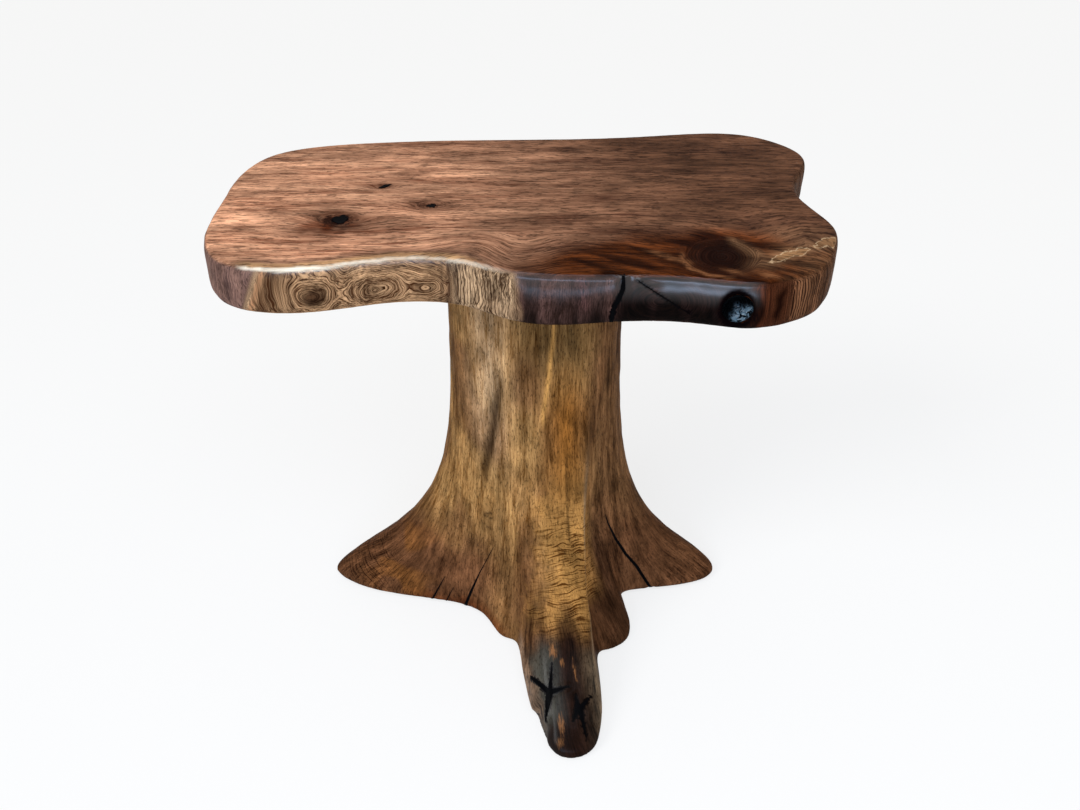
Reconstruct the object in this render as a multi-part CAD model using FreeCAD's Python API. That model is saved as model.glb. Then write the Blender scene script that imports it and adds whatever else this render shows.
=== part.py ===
# Live edge side table: a waney slab carried on a tree stump with flared roots.
# Millimetres, +Z up, floor at z = 0. The trunk's axis is x = y = 0 while the pieces are made,
# and the finished table is then set over the origin by the middle of its footprint.
import FreeCAD
import Part
import math
import os
from collections import namedtuple

from FreeCAD import Vector

# Slab
TABLE_HEIGHT = 610.0
SLAB_LENGTH = 736.0
SLAB_DEPTH = 406.0
SLAB_THICKNESS = 60.0
SLAB_SHIFT_X = -13.0  # slab's middle from the trunk's axis
SLAB_SHIFT_Y = 17.0
TOP_EDGE_ROUND = 5.0
BOTTOM_EDGE_ROUND = 9.0
EDGE_BELLY = 2.0  # how far the waney side swells between its two edges
FRONT_SWELL = 11.0  # the underside's lead over the top edge where the front steps out
FRONT_SWELL_WIDTH = 70.0
FRONT_SWELL_AT = 0.06  # share of half the length

# The slab's outline, anticlockwise from the front left corner, as shares of half its length and depth
SLAB_OUTLINE = [
    (-0.82, -0.83), (-0.61, -0.83), (-0.38, -0.735), (-0.20, -0.75), (-0.05, -0.86),
    (0.17, -0.92), (0.50, -0.945), (0.68, -0.995), (0.85, -0.89), (0.955, -0.62),
    (0.985, -0.34), (0.93, -0.05), (0.918, 0.17), (0.97, 0.42), (1.0, 0.58),
    (0.955, 0.79), (0.79, 0.995), (0.42, 0.955), (-0.05, 0.905), (-0.52, 0.86),
    (-0.87, 0.70), (-0.975, 0.42), (-0.998, 0.0), (-0.998, -0.37), (-0.945, -0.68),
]

# Trunk
TRUNK_DIAMETER = 218.0
TRUNK_OVAL = 1.5  # how far the trunk stands out of round
BUTT_SWELL = 36.0  # how far the trunk itself spreads at the floor, between the roots
BUTT_HEIGHT = 105.0
SOLE_EASE = 8.0  # how far the side is drawn in at the sole
SOLE_EASE_HEIGHT = 11.0

# Roots: reach from the trunk's axis to the toe's nose
LEFT_REACH = 320.0
FRONT_REACH = 373.0
RIGHT_REACH = 284.0
REAR_REACH = 262.0
SPUR_REACH = 225.0  # small root between the front and the right one
KNUCKLE_REACH = 179.0  # bulge at the front root's left shoulder
ROOT_FLARE = 86.0  # height over which a root's ridge falls away from the trunk
SPUR_FLARE = 52.0
KNUCKLE_FLARE = 60.0
ROOT_RISE = 1.34  # how full a ridge is behind its nose
NOSE_SHARPNESS = 7.0
ROOT_FADE = 330.0  # a root grows wider by its own width over this height

# Azimuth and spread are degrees, and squareness blunts the toe
Root = namedtuple("Root", "azimuth reach spread squareness flare")
ROOTS = {
    "left": Root(186.0, LEFT_REACH, 20.0, 1.6, ROOT_FLARE),
    "knuckle": Root(256.0, KNUCKLE_REACH, 12.0, 2.0, KNUCKLE_FLARE),
    "front": Root(278.2, FRONT_REACH, 11.6, 2.9, ROOT_FLARE),
    "spur": Root(304.5, SPUR_REACH, 15.5, 2.8, SPUR_FLARE),
    "right": Root(353.0, RIGHT_REACH, 15.0, 1.9, ROOT_FLARE),
    "rear": Root(98.0, REAR_REACH, 23.0, 1.9, ROOT_FLARE),
}

# Felt pads under the toes
PADDED_TOES = ["left", "front", "right", "rear"]
PAD_DIAMETER = 34.0
PAD_THICKNESS = 3.0
PAD_SETBACK = 62.0  # pad's middle, in from the toe's nose

# Steel plate let into the slab's underside
PLATE_THICKNESS = 6.0
PLATE_WIDTH = 190.0
PLATE_EAR = 48.0  # plate beyond the trunk at each end
PLATE_CORNER = 16.0
PLATE_CLEARANCE = 0.8

# Screws that hold the plate down on the stump
SCREW_COUNT = 6
SCREW_CIRCLE = 140.0
SCREW_DIAMETER = 8.0
SCREW_LENGTH = 80.0
SCREW_POINT = 10.0
SCREW_HEAD_DIAMETER = 15.0
SCREW_HEAD_HEIGHT = 4.0
SCREW_CLEARANCE = 0.2

# Bolts that hold the slab down on the plate
BOLT_DIAMETER = 8.0
BOLT_STANDOFF = 26.0  # bolt's axis beyond the trunk
BOLT_ROW = 66.0  # bolts each side of the trunk's axis, across the grain
BOLT_HEAD_ACROSS = 13.0
BOLT_HEAD_HEIGHT = 5.3
BOLT_END_ROOM = 4.0  # insert's depth left beyond the bolt
BOLT_CLEARANCE = 0.2
SLOT_TRAVEL = 8.0  # lets the slab move across its grain
WASHER_DIAMETER = 24.0
WASHER_THICKNESS = 2.0
INSERT_DIAMETER = 12.0
INSERT_LENGTH = 20.0
INSERT_CLEARANCE = 0.1

# Black resin fills
FILL_GAP = 0.05  # wood to resin
EDGE_CRACK_DEPTH = 34.0
EDGE_CRACK_DIP = 37.0  # degrees below level at which the crack runs back
EDGE_CHECK_DEPTH = 14.0
KNOT_HOLE_DIAMETER = 34.0
KNOT_HOLE_DEPTH = 36.0
KNOT_HOLE_LINING = 2.5
KNOT_HOLE_BELOW_TOP = 33.0
KNOT_FILL_DEPTH = 14.0
ROOT_CRACK_DEPTH = 30.0
STAR_DEPTH = 24.0
STAR_HUB = 5.0
STAR_LEAN = 54.0  # degrees below level at which the shakes run into the toe

# Where the slab's fills lie along its front, as shares of half its length
EDGE_CRACK_AT = 0.293
EDGE_CHECK_AT = 0.338
KNOT_HOLE_AT = 0.632

# Knots in the top: middle as shares of half the length and depth, then length, width and turn
Knot = namedtuple("Knot", "x_share y_share length width turn")
TOP_KNOTS = {
    "top_knot_fill": Knot(-0.578, -0.275, 25.0, 19.0, 8.0),
    "pin_knot_fill": Knot(-0.298, -0.10, 11.0, 8.0, 0.0),
    "bark_pocket_fill": Knot(-0.468, 0.16, 17.0, 5.0, 40.0),
}

# Each crack's line as seen from outside: sideways, up and width at each station, from its mouth
EDGE_CRACK_LINE = [(1, 6, 3), (1, -8, 5), (-3, -18, 5.5), (-8, -28, 4.5), (-9.5, -38, 4.5), (-10, -49, 3)]
EDGE_CHECK_LINE = [(0, 0, 1.2), (29, -20, 2.2), (58, -39, 0.8)]
RIGHT_ROOT_CRACK_LINE = [
    (4, -10, 4.2), (0, 4, 4.4), (-26, 53, 5.0), (-43, 78, 4.4),
    (-60, 112, 3.4), (-73, 147, 1.8), (-78, 166, 0.6),
]
LEFT_OUTER_CRACK_LINE = [(-4, -10, 3.4), (0, 3, 3.2), (12, 30, 2.4), (23, 54, 0.6)]
LEFT_MIDDLE_CRACK_LINE = [(-4, -10, 2.2), (0, 3, 2.0), (14, 38, 0.6)]
LEFT_INNER_CRACK_LINE = [(-3, -10, 4.6), (0, 3, 4.6), (10, 38, 4.0), (22, 76, 1.6), (44, 134, 0.5)]

# Azimuth of each root crack's mouth
RIGHT_ROOT_CRACK_AZIMUTH = 337.4
LEFT_OUTER_CRACK_AZIMUTH = 211.5
LEFT_MIDDLE_CRACK_AZIMUTH = 216.5
LEFT_INNER_CRACK_AZIMUTH = 225.8

# Star shaped shakes on the front toe: middle from the toe's nose, and the arms' ends as right and up
Star = namedtuple("Star", "aside setback height arms")
STARS = {
    "front_toe_star_fill": Star(-22.0, 84.0, 50.0, [(-38, 40), (8, 37), (26, 4), (-10, -36)]),
    "front_toe_shake_fill": Star(13.0, 59.0, 41.0, [(-2, 17), (19, 14), (5, -40), (-10, -15)]),
}

# How finely the grown surfaces are drawn
SLAB_STATIONS = 96
ROUND_STATIONS = (0.0, 0.12, 0.45, 1.0)  # heights in an edge's round, as shares of it
SIDE_STATIONS = (0.33, 0.67)  # heights between the rounds
STUMP_STATIONS = 112
STUMP_LEVELS = 18
LEVEL_CROWDING = 2.2  # draws the stump's levels together near the floor
AZIMUTH_STEP = 0.5  # degrees, for measuring round the stump
OUTSIDE = 40.0  # how far a cutter stands out of what it cuts

UP = Vector(0, 0, 1)
FULL_TURN = 360.0  # degrees
SLAB_UNDERSIDE = TABLE_HEIGHT - SLAB_THICKNESS
SLAB_MIDDLE = Vector(SLAB_SHIFT_X, SLAB_SHIFT_Y, 0)
PLATE_TOP = SLAB_UNDERSIDE + PLATE_THICKNESS
PLATE_LENGTH = TRUNK_DIAMETER + 2 * PLATE_EAR
BOLT_ACROSS = TRUNK_DIAMETER / 2 + BOLT_STANDOFF
BOLT_HOLE = BOLT_DIAMETER + 2 * BOLT_CLEARANCE
BOLT_PLACES = [Vector(x, y, 0) for x in (-BOLT_ACROSS, BOLT_ACROSS) for y in (-BOLT_ROW, BOLT_ROW)]


# Shared shapes

def polar(azimuth, radius, z=0.0):
    turn = math.radians(azimuth)
    return Vector(radius * math.cos(turn), radius * math.sin(turn), z)


def loft(rings):
    """A solid through rings of points that correspond from ring to ring."""
    wires = []
    for points in rings:
        curve = Part.BSplineCurve()
        stations = [i / len(points) for i in range(len(points) + 1)]
        curve.interpolate(Points=points, PeriodicFlag=True, Parameters=stations)
        wires.append(Part.Wire([curve.toShape()]))
    return Part.makeLoft(wires, True, False)


def inset(ring, amount_at):
    """Moves each point of an anticlockwise ring inwards by amount_at(point)."""
    moved = []
    for i, point in enumerate(ring):
        along = ring[(i + 1) % len(ring)] - ring[i - 1]
        outward = along.cross(UP).normalize()
        moved.append(point - outward * amount_at(point))
    return moved


def round_inset(radius, height):
    """How far a quarter round of that radius is set in, at a height from its end."""
    if height >= radius:
        return 0.0
    return radius - math.sqrt(radius**2 - (radius - height) ** 2)


def cylinder(place, z, diameter, height):
    return Part.makeCylinder(diameter / 2, height, Vector(place.x, place.y, z))


def ring_solid(place, z, outside, inside, height):
    return cylinder(place, z, outside, height).cut(cylinder(place, z, inside, height))


def prism(corners, direction, length):
    return Part.Face(Part.makePolygon(corners + corners[:1])).extrude(direction * length)


def turned(corners, place):
    """A solid of revolution about the Z axis, set at a place."""
    solid = Part.Face(Part.makePolygon(corners + corners[:1])).revolve(Vector(), UP, FULL_TURN)
    solid.translate(place)
    return solid


def crack_prism(mouth, inward, line, depth, gap):
    """A crack's blade, from outside the wood to its depth behind the mouth."""
    sideways = inward.cross(UP).normalize()
    upward = sideways.cross(inward)
    start = mouth - inward * OUTSIDE
    left = [start + sideways * (side - width / 2 - gap) + upward * up for side, up, width in line]
    right = [start + sideways * (side + width / 2 + gap) + upward * up for side, up, width in line]
    return prism(left + right[::-1], inward, OUTSIDE + depth + gap)


# Slab

def slab_ring():
    """Points round the slab's widest outline, stretched to its length and depth."""
    rough = Part.BSplineCurve()
    rough.interpolate(Points=[Vector(x, y, 0) for x, y in SLAB_OUTLINE], PeriodicFlag=True)
    step = (rough.LastParameter - rough.FirstParameter) / SLAB_STATIONS
    points = [rough.value(rough.FirstParameter + i * step) for i in range(SLAB_STATIONS)]
    box = FreeCAD.BoundBox()
    for point in points:
        box.add(point)
    return [
        SLAB_MIDDLE
        + Vector(
            (p.x - box.Center.x) * SLAB_LENGTH / box.XLength,
            (p.y - box.Center.y) * SLAB_DEPTH / box.YLength,
            0,
        )
        for p in points
    ]


def slab_place(x_share, y_share):
    return SLAB_MIDDLE + Vector(x_share * SLAB_LENGTH / 2, y_share * SLAB_DEPTH / 2, 0)


def front_edge(ring, x_share, z):
    """Where the front of the outline passes the given share of half the length."""
    x = slab_place(x_share, 0).x
    front = sorted((p for p in ring if p.y < SLAB_MIDDLE.y), key=lambda p: p.x)
    before = [p for p in front if p.x <= x][-1]
    after = [p for p in front if p.x > x][0]
    share = (x - before.x) / (after.x - before.x)
    return Vector(x, before.y + share * (after.y - before.y), z)


def slab_blank(ring):
    """The waney slab: rounded at both edges, bellied between, and stepped out along the front."""
    swell_middle = slab_place(FRONT_SWELL_AT, 0).x

    def level(z):
        belly = EDGE_BELLY * (2 * z / SLAB_THICKNESS - 1) ** 2
        edges = round_inset(BOTTOM_EDGE_ROUND, z) + round_inset(TOP_EDGE_ROUND, SLAB_THICKNESS - z)
        swell = FRONT_SWELL * (1 - z / SLAB_THICKNESS)

        def amount(point):
            if point.y > SLAB_MIDDLE.y:
                return belly + edges
            return belly + edges - swell * math.exp(-(((point.x - swell_middle) / FRONT_SWELL_WIDTH) ** 2))

        return [Vector(p.x, p.y, SLAB_UNDERSIDE + z) for p in inset(ring, amount)]

    bottom = [BOTTOM_EDGE_ROUND * share for share in ROUND_STATIONS]
    top = [SLAB_THICKNESS - TOP_EDGE_ROUND * share for share in reversed(ROUND_STATIONS)]
    side = [bottom[-1] + (top[0] - bottom[-1]) * share for share in SIDE_STATIONS]
    return loft([level(z) for z in bottom + side + top])


def plate_blank(grow):
    """A rounded rectangle, its lower face level with the slab's underside."""
    length = PLATE_LENGTH + 2 * grow
    width = PLATE_WIDTH + 2 * grow
    box = Part.makeBox(length, width, PLATE_THICKNESS, Vector(-length / 2, -width / 2, SLAB_UNDERSIDE))
    uprights = [edge for edge in box.Edges if edge.tangentAt(edge.FirstParameter).cross(UP).Length < 0.5]
    return box.makeFillet(PLATE_CORNER + grow, uprights)


def knot_plug(knot, gap):
    """An oval plug, from above the slab down to the fill's depth."""
    place = slab_place(knot.x_share, knot.y_share)
    oval = Part.Ellipse(Vector(), knot.length / 2 + gap, knot.width / 2 + gap).toShape()
    plug = Part.Face(Part.Wire([oval])).extrude(UP * (OUTSIDE + KNOT_FILL_DEPTH + gap))
    plug.rotate(Vector(), UP, knot.turn)
    plug.translate(Vector(place.x, place.y, TABLE_HEIGHT - KNOT_FILL_DEPTH - gap))
    return plug


def knot_hole(ring, gap):
    """A hollow that runs straight back from the front edge to a rounded end."""
    radius = KNOT_HOLE_DIAMETER / 2 + gap
    depth = KNOT_HOLE_DEPTH + gap
    mouth = front_edge(ring, KNOT_HOLE_AT, TABLE_HEIGHT - KNOT_HOLE_BELOW_TOP)
    back = Vector(0, 1, 0)
    barrel = Part.makeCylinder(radius, OUTSIDE + depth - radius, mouth - back * OUTSIDE, back)
    return barrel.fuse(Part.makeSphere(radius, mouth + back * (depth - radius)))


def slab_fill_cutters(ring, gap):
    """The resin's shape in the slab, by node, grown by gap for the wood's side."""
    dip = math.radians(EDGE_CRACK_DIP)
    below_arris = TABLE_HEIGHT - TOP_EDGE_ROUND
    crack = front_edge(ring, EDGE_CRACK_AT, below_arris)
    check = front_edge(ring, EDGE_CHECK_AT, below_arris)
    steep = Vector(0, math.cos(dip), -math.sin(dip))
    cutters = {
        "edge_crack_fill": crack_prism(crack, steep, EDGE_CRACK_LINE, EDGE_CRACK_DEPTH, gap),
        "edge_check_fill": crack_prism(check, Vector(0, 1, 0), EDGE_CHECK_LINE, EDGE_CHECK_DEPTH, gap),
        "knot_hole_lining": knot_hole(ring, gap),
    }
    for name, knot in TOP_KNOTS.items():
        cutters[name] = knot_plug(knot, gap)
    return cutters


def make_tabletop_and_fills():
    ring = slab_ring()
    wood = slab_blank(ring)
    fills = {name: wood.common(cutter) for name, cutter in slab_fill_cutters(ring, 0.0).items()}
    fills["knot_hole_lining"] = fills["knot_hole_lining"].cut(knot_hole(ring, -KNOT_HOLE_LINING))
    bore = INSERT_DIAMETER + 2 * INSERT_CLEARANCE
    bores = [cylinder(place, PLATE_TOP, bore, INSERT_LENGTH + INSERT_CLEARANCE) for place in BOLT_PLACES]
    cuts = list(slab_fill_cutters(ring, FILL_GAP).values())
    return {"tabletop": wood.cut(cuts + [plate_blank(PLATE_CLEARANCE)] + bores), **fills}


# Stump

def soft_min(a, b):
    return (a**-NOSE_SHARPNESS + b**-NOSE_SHARPNESS) ** (-1 / NOSE_SHARPNESS)


def stump_radius(azimuth, z):
    """From the trunk's axis to its side: the trunk, its butt swell and each root's ridge."""
    radius = TRUNK_DIAMETER / 2 + BUTT_SWELL * math.exp(-z / BUTT_HEIGHT)
    radius += TRUNK_OVAL * math.cos(math.radians(2 * azimuth))
    for root in ROOTS.values():
        limit = root.reach - TRUNK_DIAMETER / 2 - BUTT_SWELL
        ridge = soft_min(ROOT_RISE * limit * math.exp(-z / root.flare), limit)
        off = (azimuth - root.azimuth + FULL_TURN / 2) % FULL_TURN - FULL_TURN / 2
        spread = root.spread * (1 + z / ROOT_FADE)
        radius += ridge * math.exp(-(abs(off / spread) ** root.squareness))
    return radius


def on_stump(azimuth, z):
    return polar(azimuth, stump_radius(azimuth, z), z)


def stump_azimuths():
    """Stations crowded on the toes' flanks, midway between even turns and even steps along the floor."""
    turns = [i * AZIMUTH_STEP for i in range(int(FULL_TURN / AZIMUTH_STEP) + 1)]
    walked = [0.0]
    for before, after in zip(turns, turns[1:]):
        walked.append(walked[-1] + (on_stump(after, 0) - on_stump(before, 0)).Length)
    measure = [turn / FULL_TURN + walk / walked[-1] for turn, walk in zip(turns, walked)]
    stations = []
    for i in range(STUMP_STATIONS):
        wanted = 2 * i / STUMP_STATIONS
        stations.append(next(turn for turn, reached in zip(turns, measure) if reached >= wanted))
    return stations


def stump_blank():
    """The trunk and its roots, lofted from the sawn sole to the sawn head."""
    azimuths = stump_azimuths()
    height = SLAB_UNDERSIDE - PAD_THICKNESS
    rings = []
    for level in range(STUMP_LEVELS + 1):
        above_sole = height * (level / STUMP_LEVELS) ** LEVEL_CROWDING
        ring = [on_stump(azimuth, PAD_THICKNESS + above_sole) for azimuth in azimuths]
        amount = SOLE_EASE * max(0.0, 1 - above_sole / SOLE_EASE_HEIGHT) ** 2
        rings.append(inset(ring, lambda point: amount))
    return loft(rings)


def root_crack(azimuth, line, gap):
    along = on_stump(azimuth + AZIMUTH_STEP, 0) - on_stump(azimuth - AZIMUTH_STEP, 0)
    inward = UP.cross(along).normalize()
    return crack_prism(on_stump(azimuth, 0), inward, line, ROOT_CRACK_DEPTH, gap)


def star_prism(star, gap):
    """A many armed shake that runs down into the front toe."""
    outward = polar(ROOTS["front"].azimuth, 1)
    right = UP.cross(outward)
    lean = math.radians(STAR_LEAN)
    inward = outward * -math.cos(lean) - UP * math.sin(lean)
    upward = right.cross(inward)
    middle = outward * (FRONT_REACH - star.setback) + right * star.aside + UP * star.height
    ends = [right * r + upward * u for r, u in star.arms]
    corners = []
    for end, following in zip(ends, ends[1:] + ends[:1]):
        crotch = end * (1 / end.Length) + following * (1 / following.Length)
        corners.append(end * (1 + gap / end.Length))
        corners.append(crotch.normalize() * (STAR_HUB + gap))
    start = middle - inward * OUTSIDE
    return prism([start + corner for corner in corners], inward, OUTSIDE + STAR_DEPTH + gap)


def stump_fill_cutters(gap):
    """The resin's shapes in the stump, by node, grown by gap for the wood's side."""
    cutters = {
        "left_root_crack_fills": [
            root_crack(LEFT_OUTER_CRACK_AZIMUTH, LEFT_OUTER_CRACK_LINE, gap),
            root_crack(LEFT_MIDDLE_CRACK_AZIMUTH, LEFT_MIDDLE_CRACK_LINE, gap),
            root_crack(LEFT_INNER_CRACK_AZIMUTH, LEFT_INNER_CRACK_LINE, gap),
        ],
        "right_root_crack_fill": [root_crack(RIGHT_ROOT_CRACK_AZIMUTH, RIGHT_ROOT_CRACK_LINE, gap)],
    }
    for name, star in STARS.items():
        cutters[name] = [star_prism(star, gap)]
    return cutters


def make_stump_and_fills():
    wood = stump_blank()
    fills = {}
    for name, cutters in stump_fill_cutters(0.0).items():
        fills[name] = Part.makeCompound([wood.common(cutter) for cutter in cutters])
    cuts = [cutter for cutters in stump_fill_cutters(FILL_GAP).values() for cutter in cutters]
    pilot = SCREW_DIAMETER + 2 * SCREW_CLEARANCE
    depth = SCREW_LENGTH - PLATE_THICKNESS + SCREW_CLEARANCE
    pilots = [cylinder(place, SLAB_UNDERSIDE - depth, pilot, depth) for place in screw_places()]
    return {"stump": wood.cut(cuts + pilots), **fills}


def make_foot_pads():
    pads = {}
    for name in PADDED_TOES:
        middle = polar(ROOTS[name].azimuth, ROOTS[name].reach - PAD_SETBACK)
        pads["foot_pad_" + name] = cylinder(middle, 0, PAD_DIAMETER, PAD_THICKNESS)
    return pads


# Plate and fasteners

def screw_places():
    return [polar(FULL_TURN * i / SCREW_COUNT, SCREW_CIRCLE / 2) for i in range(SCREW_COUNT)]


def screw_solid(place, grow):
    """A countersunk wood screw, its head level with the plate's upper face."""
    shank = SCREW_DIAMETER / 2 + grow
    head = SCREW_HEAD_DIAMETER / 2 + grow
    tip = PLATE_TOP - SCREW_LENGTH
    corners = [
        Vector(0, 0, PLATE_TOP),
        Vector(head, 0, PLATE_TOP),
        Vector(shank, 0, PLATE_TOP - SCREW_HEAD_HEIGHT),
        Vector(shank, 0, tip + SCREW_POINT),
        Vector(0, 0, tip),
    ]
    return turned(corners, place)


def bolt_slot(place):
    """A slot across the slab's grain, right through the plate."""
    ends = [place + Vector(0, side * SLOT_TRAVEL / 2, 0) for side in (-1, 1)]
    corner = Vector(place.x - BOLT_HOLE / 2, ends[0].y, SLAB_UNDERSIDE)
    straight = Part.makeBox(BOLT_HOLE, SLOT_TRAVEL, PLATE_THICKNESS, corner)
    return straight.fuse([cylinder(end, SLAB_UNDERSIDE, BOLT_HOLE, PLATE_THICKNESS) for end in ends])


def make_plate():
    holes = [screw_solid(place, SCREW_CLEARANCE) for place in screw_places()]
    return plate_blank(0.0).cut(holes + [bolt_slot(place) for place in BOLT_PLACES])


def make_bolt(place):
    head_top = SLAB_UNDERSIDE - WASHER_THICKNESS
    base = Vector(place.x, place.y, head_top - BOLT_HEAD_HEIGHT)
    corners = [base + polar(60 * i, BOLT_HEAD_ACROSS / math.sqrt(3)) for i in range(6)]
    length = WASHER_THICKNESS + PLATE_THICKNESS + INSERT_LENGTH - BOLT_END_ROOM
    return prism(corners, UP, BOLT_HEAD_HEIGHT).fuse(cylinder(place, head_top, BOLT_DIAMETER, length))


def make_washer(place):
    return ring_solid(place, SLAB_UNDERSIDE - WASHER_THICKNESS, WASHER_DIAMETER, BOLT_HOLE, WASHER_THICKNESS)


def make_insert(place):
    return ring_solid(place, PLATE_TOP, INSERT_DIAMETER, BOLT_HOLE, INSERT_LENGTH)


# Table

def make_table():
    pieces = {
        **make_tabletop_and_fills(),
        **make_stump_and_fills(),
        "mounting_plate": make_plate(),
        "stump_screws": Part.makeCompound([screw_solid(place, 0.0) for place in screw_places()]),
        "top_bolts": Part.makeCompound([make_bolt(place) for place in BOLT_PLACES]),
        "top_bolt_washers": Part.makeCompound([make_washer(place) for place in BOLT_PLACES]),
        "threaded_inserts": Part.makeCompound([make_insert(place) for place in BOLT_PLACES]),
        **make_foot_pads(),
    }
    box = Part.makeCompound([pieces["tabletop"], pieces["stump"]]).optimalBoundingBox(False, False)
    to_origin = Vector(-box.Center.x, -box.Center.y, 0)
    for shape in pieces.values():
        shape.translate(to_origin)
    print("trunk's axis at", round(to_origin.x, 2), round(to_origin.y, 2))
    print("footprint", round(box.XLength, 1), round(box.YLength, 1))
    return pieces


def main():
    os.makedirs("parts", exist_ok=True)
    for name, shape in make_table().items():
        shape.exportStep(os.path.join("parts", name + ".step"))
        print(name, len(shape.Solids), "solids", round(shape.Volume / 1000, 2), "cm3", shape.isValid())


main()
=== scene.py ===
import math

import bmesh
import bpy
import numpy as np
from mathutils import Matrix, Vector
from mathutils.bvhtree import BVHTree


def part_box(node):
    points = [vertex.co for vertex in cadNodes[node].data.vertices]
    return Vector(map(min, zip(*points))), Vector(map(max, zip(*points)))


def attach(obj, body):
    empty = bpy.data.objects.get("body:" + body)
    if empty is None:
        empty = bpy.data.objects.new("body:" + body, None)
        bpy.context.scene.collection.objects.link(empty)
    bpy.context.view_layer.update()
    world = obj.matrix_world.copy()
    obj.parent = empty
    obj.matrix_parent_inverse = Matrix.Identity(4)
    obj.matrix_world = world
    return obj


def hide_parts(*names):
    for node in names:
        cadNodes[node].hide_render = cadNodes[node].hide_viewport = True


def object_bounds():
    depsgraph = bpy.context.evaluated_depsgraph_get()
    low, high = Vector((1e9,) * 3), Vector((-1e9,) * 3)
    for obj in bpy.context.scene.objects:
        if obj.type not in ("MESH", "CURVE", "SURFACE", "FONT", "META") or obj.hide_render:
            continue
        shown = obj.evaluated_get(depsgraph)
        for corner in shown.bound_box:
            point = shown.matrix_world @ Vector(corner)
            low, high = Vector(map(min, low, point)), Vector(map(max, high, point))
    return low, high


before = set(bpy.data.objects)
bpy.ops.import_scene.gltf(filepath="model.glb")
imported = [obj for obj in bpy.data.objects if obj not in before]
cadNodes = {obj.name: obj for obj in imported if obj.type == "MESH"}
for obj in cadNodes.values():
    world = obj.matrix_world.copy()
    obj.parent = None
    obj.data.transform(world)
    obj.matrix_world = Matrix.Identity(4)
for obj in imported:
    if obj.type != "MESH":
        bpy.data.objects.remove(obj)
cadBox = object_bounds()
mm = 1000  # in a metre
resinReach = 12  # distances to resin are looked for this far, in mm
print("frame loaded, nodes:", len(cadNodes))


# adds any node: settings are the node's own, links hold a socket, a value or a hex colour for each input
def addNode(tree, kind, links=None, out=0, **settings):
    node = tree.nodes.new("ShaderNode" + kind)
    for name, value in settings.items():
        setattr(node, name, value)
    for key, value in (links or {}).items():
        if isinstance(value, bpy.types.NodeSocket):
            tree.links.new(value, node.inputs[key])
        else:
            node.inputs[key].default_value = linearFromHex(value) if isinstance(value, str) else value
    return node.outputs[out] if len(node.outputs) else node


def linearFromHex(hexText):
    shades = [int(hexText[i:i + 2], 16) / 255 for i in (1, 3, 5)]
    return tuple(s / 12.92 if s <= 0.04045 else ((s + 0.055) / 1.055) ** 2.4 for s in shades) + (1.0,)


# growth bands, fibre streaks, open pores and clouding along a grain direction, sizes in millimetres
def woodFigure(tree, grain, sizes, streakShare, spread, poreAt=0.56):
    layers = []
    for long, wide, detail in sizes:
        stretch = (1 / long, 1 / wide, 1 / wide)
        scaled = addNode(tree, "VectorMath", {0: grain, 1: stretch}, operation="MULTIPLY")
        layers.append(addNode(
            tree, "TexNoise", {"Vector": scaled, "Scale": 1.0, "Detail": detail, "Roughness": 0.64}
        ))
    bands, streaks, pores, clouds = layers
    mixed = addNode(tree, "Mix", {0: streakShare, 2: bands, 3: streaks})
    figure = addNode(tree, "MapRange", {0: mixed, 1: 0.5 - spread, 2: 0.5 + spread})
    pores = addNode(tree, "MapRange", {0: pores, 1: poreAt, 2: poreAt + 0.07})
    return figure, pores, clouds


# a distance field of the mesh, pushed out and in by noise, so that a stain ends in a ragged line
def raggedEdge(tree, name, size, reach, detail, roughness=0.5):
    place = addNode(tree, "TexCoord", out="Object")
    noise = addNode(
        tree, "TexNoise", {"Vector": place, "Scale": mm / size, "Detail": detail, "Roughness": roughness}
    )
    move = addNode(tree, "MapRange", {0: noise, 1: 0.3, 2: 0.7, 3: -reach, 4: reach})
    away = addNode(tree, "Attribute", attribute_name=name, out="Fac")
    return addNode(tree, "Math", {0: away, 1: move}, operation="ADD")


# the face of oiled wood: satin that follows the figure, sunk pores, and a coat where it is rubbed
def oiledWood(tree, look, colour, figure, figureDark, pores, rubbedGloss):
    first, last = look["satin"]
    strength, distance = look["bump"]
    coatRoughness, coatIor = look["coat"]
    satin = addNode(tree, "MapRange", {0: figure, 3: first, 4: last})
    relief = addNode(tree, "Math", {0: figureDark, 1: pores}, operation="SUBTRACT")
    bumped = addNode(tree, "Bump", {"Strength": strength, "Distance": distance, "Height": relief})
    surface = addNode(tree, "BsdfPrincipled", {
        "Base Color": colour, "Roughness": satin, "IOR": 1.5, "Specular IOR Level": 0.005, "Normal": bumped,
        "Coat Weight": rubbedGloss, "Coat Roughness": coatRoughness, "Coat IOR": coatIor,
    })
    addNode(tree, "OutputMaterial", {"Surface": surface})


def newMaterial(name):
    material = bpy.data.materials.new(name)
    material.use_nodes = True
    material.node_tree.nodes.clear()
    return material


# two colours mixed by a pattern, which also sets the gloss, over fine relief
def plainFinish(tree, look, colourBy, reliefBy, values):
    under, over = look["colours"]
    strength, distance = look["bump"]
    links = {
        "Base Color": addNode(tree, "Mix", {0: colourBy, 6: under, 7: over}, out=2, data_type="RGBA"),
        "Normal": addNode(tree, "Bump", {"Strength": strength, "Distance": distance, "Height": reliefBy}),
    }
    if "gloss" in look:
        low, high = look.get("glossFrom", (0.0, 1.0))
        first, last = look["gloss"]
        links["Roughness"] = addNode(tree, "MapRange", {0: colourBy, 1: low, 2: high, 3: first, 4: last})
    surface = addNode(tree, "BsdfPrincipled", {**links, **values})
    addNode(tree, "OutputMaterial", {"Surface": surface})


def addObject(name, data):
    added = bpy.data.objects.new(name, data)
    bpy.context.scene.collection.objects.link(added)
    return added


def middleOf(nodeName):
    low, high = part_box(nodeName)
    return (Vector(low) + Vector(high)) / 2


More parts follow.
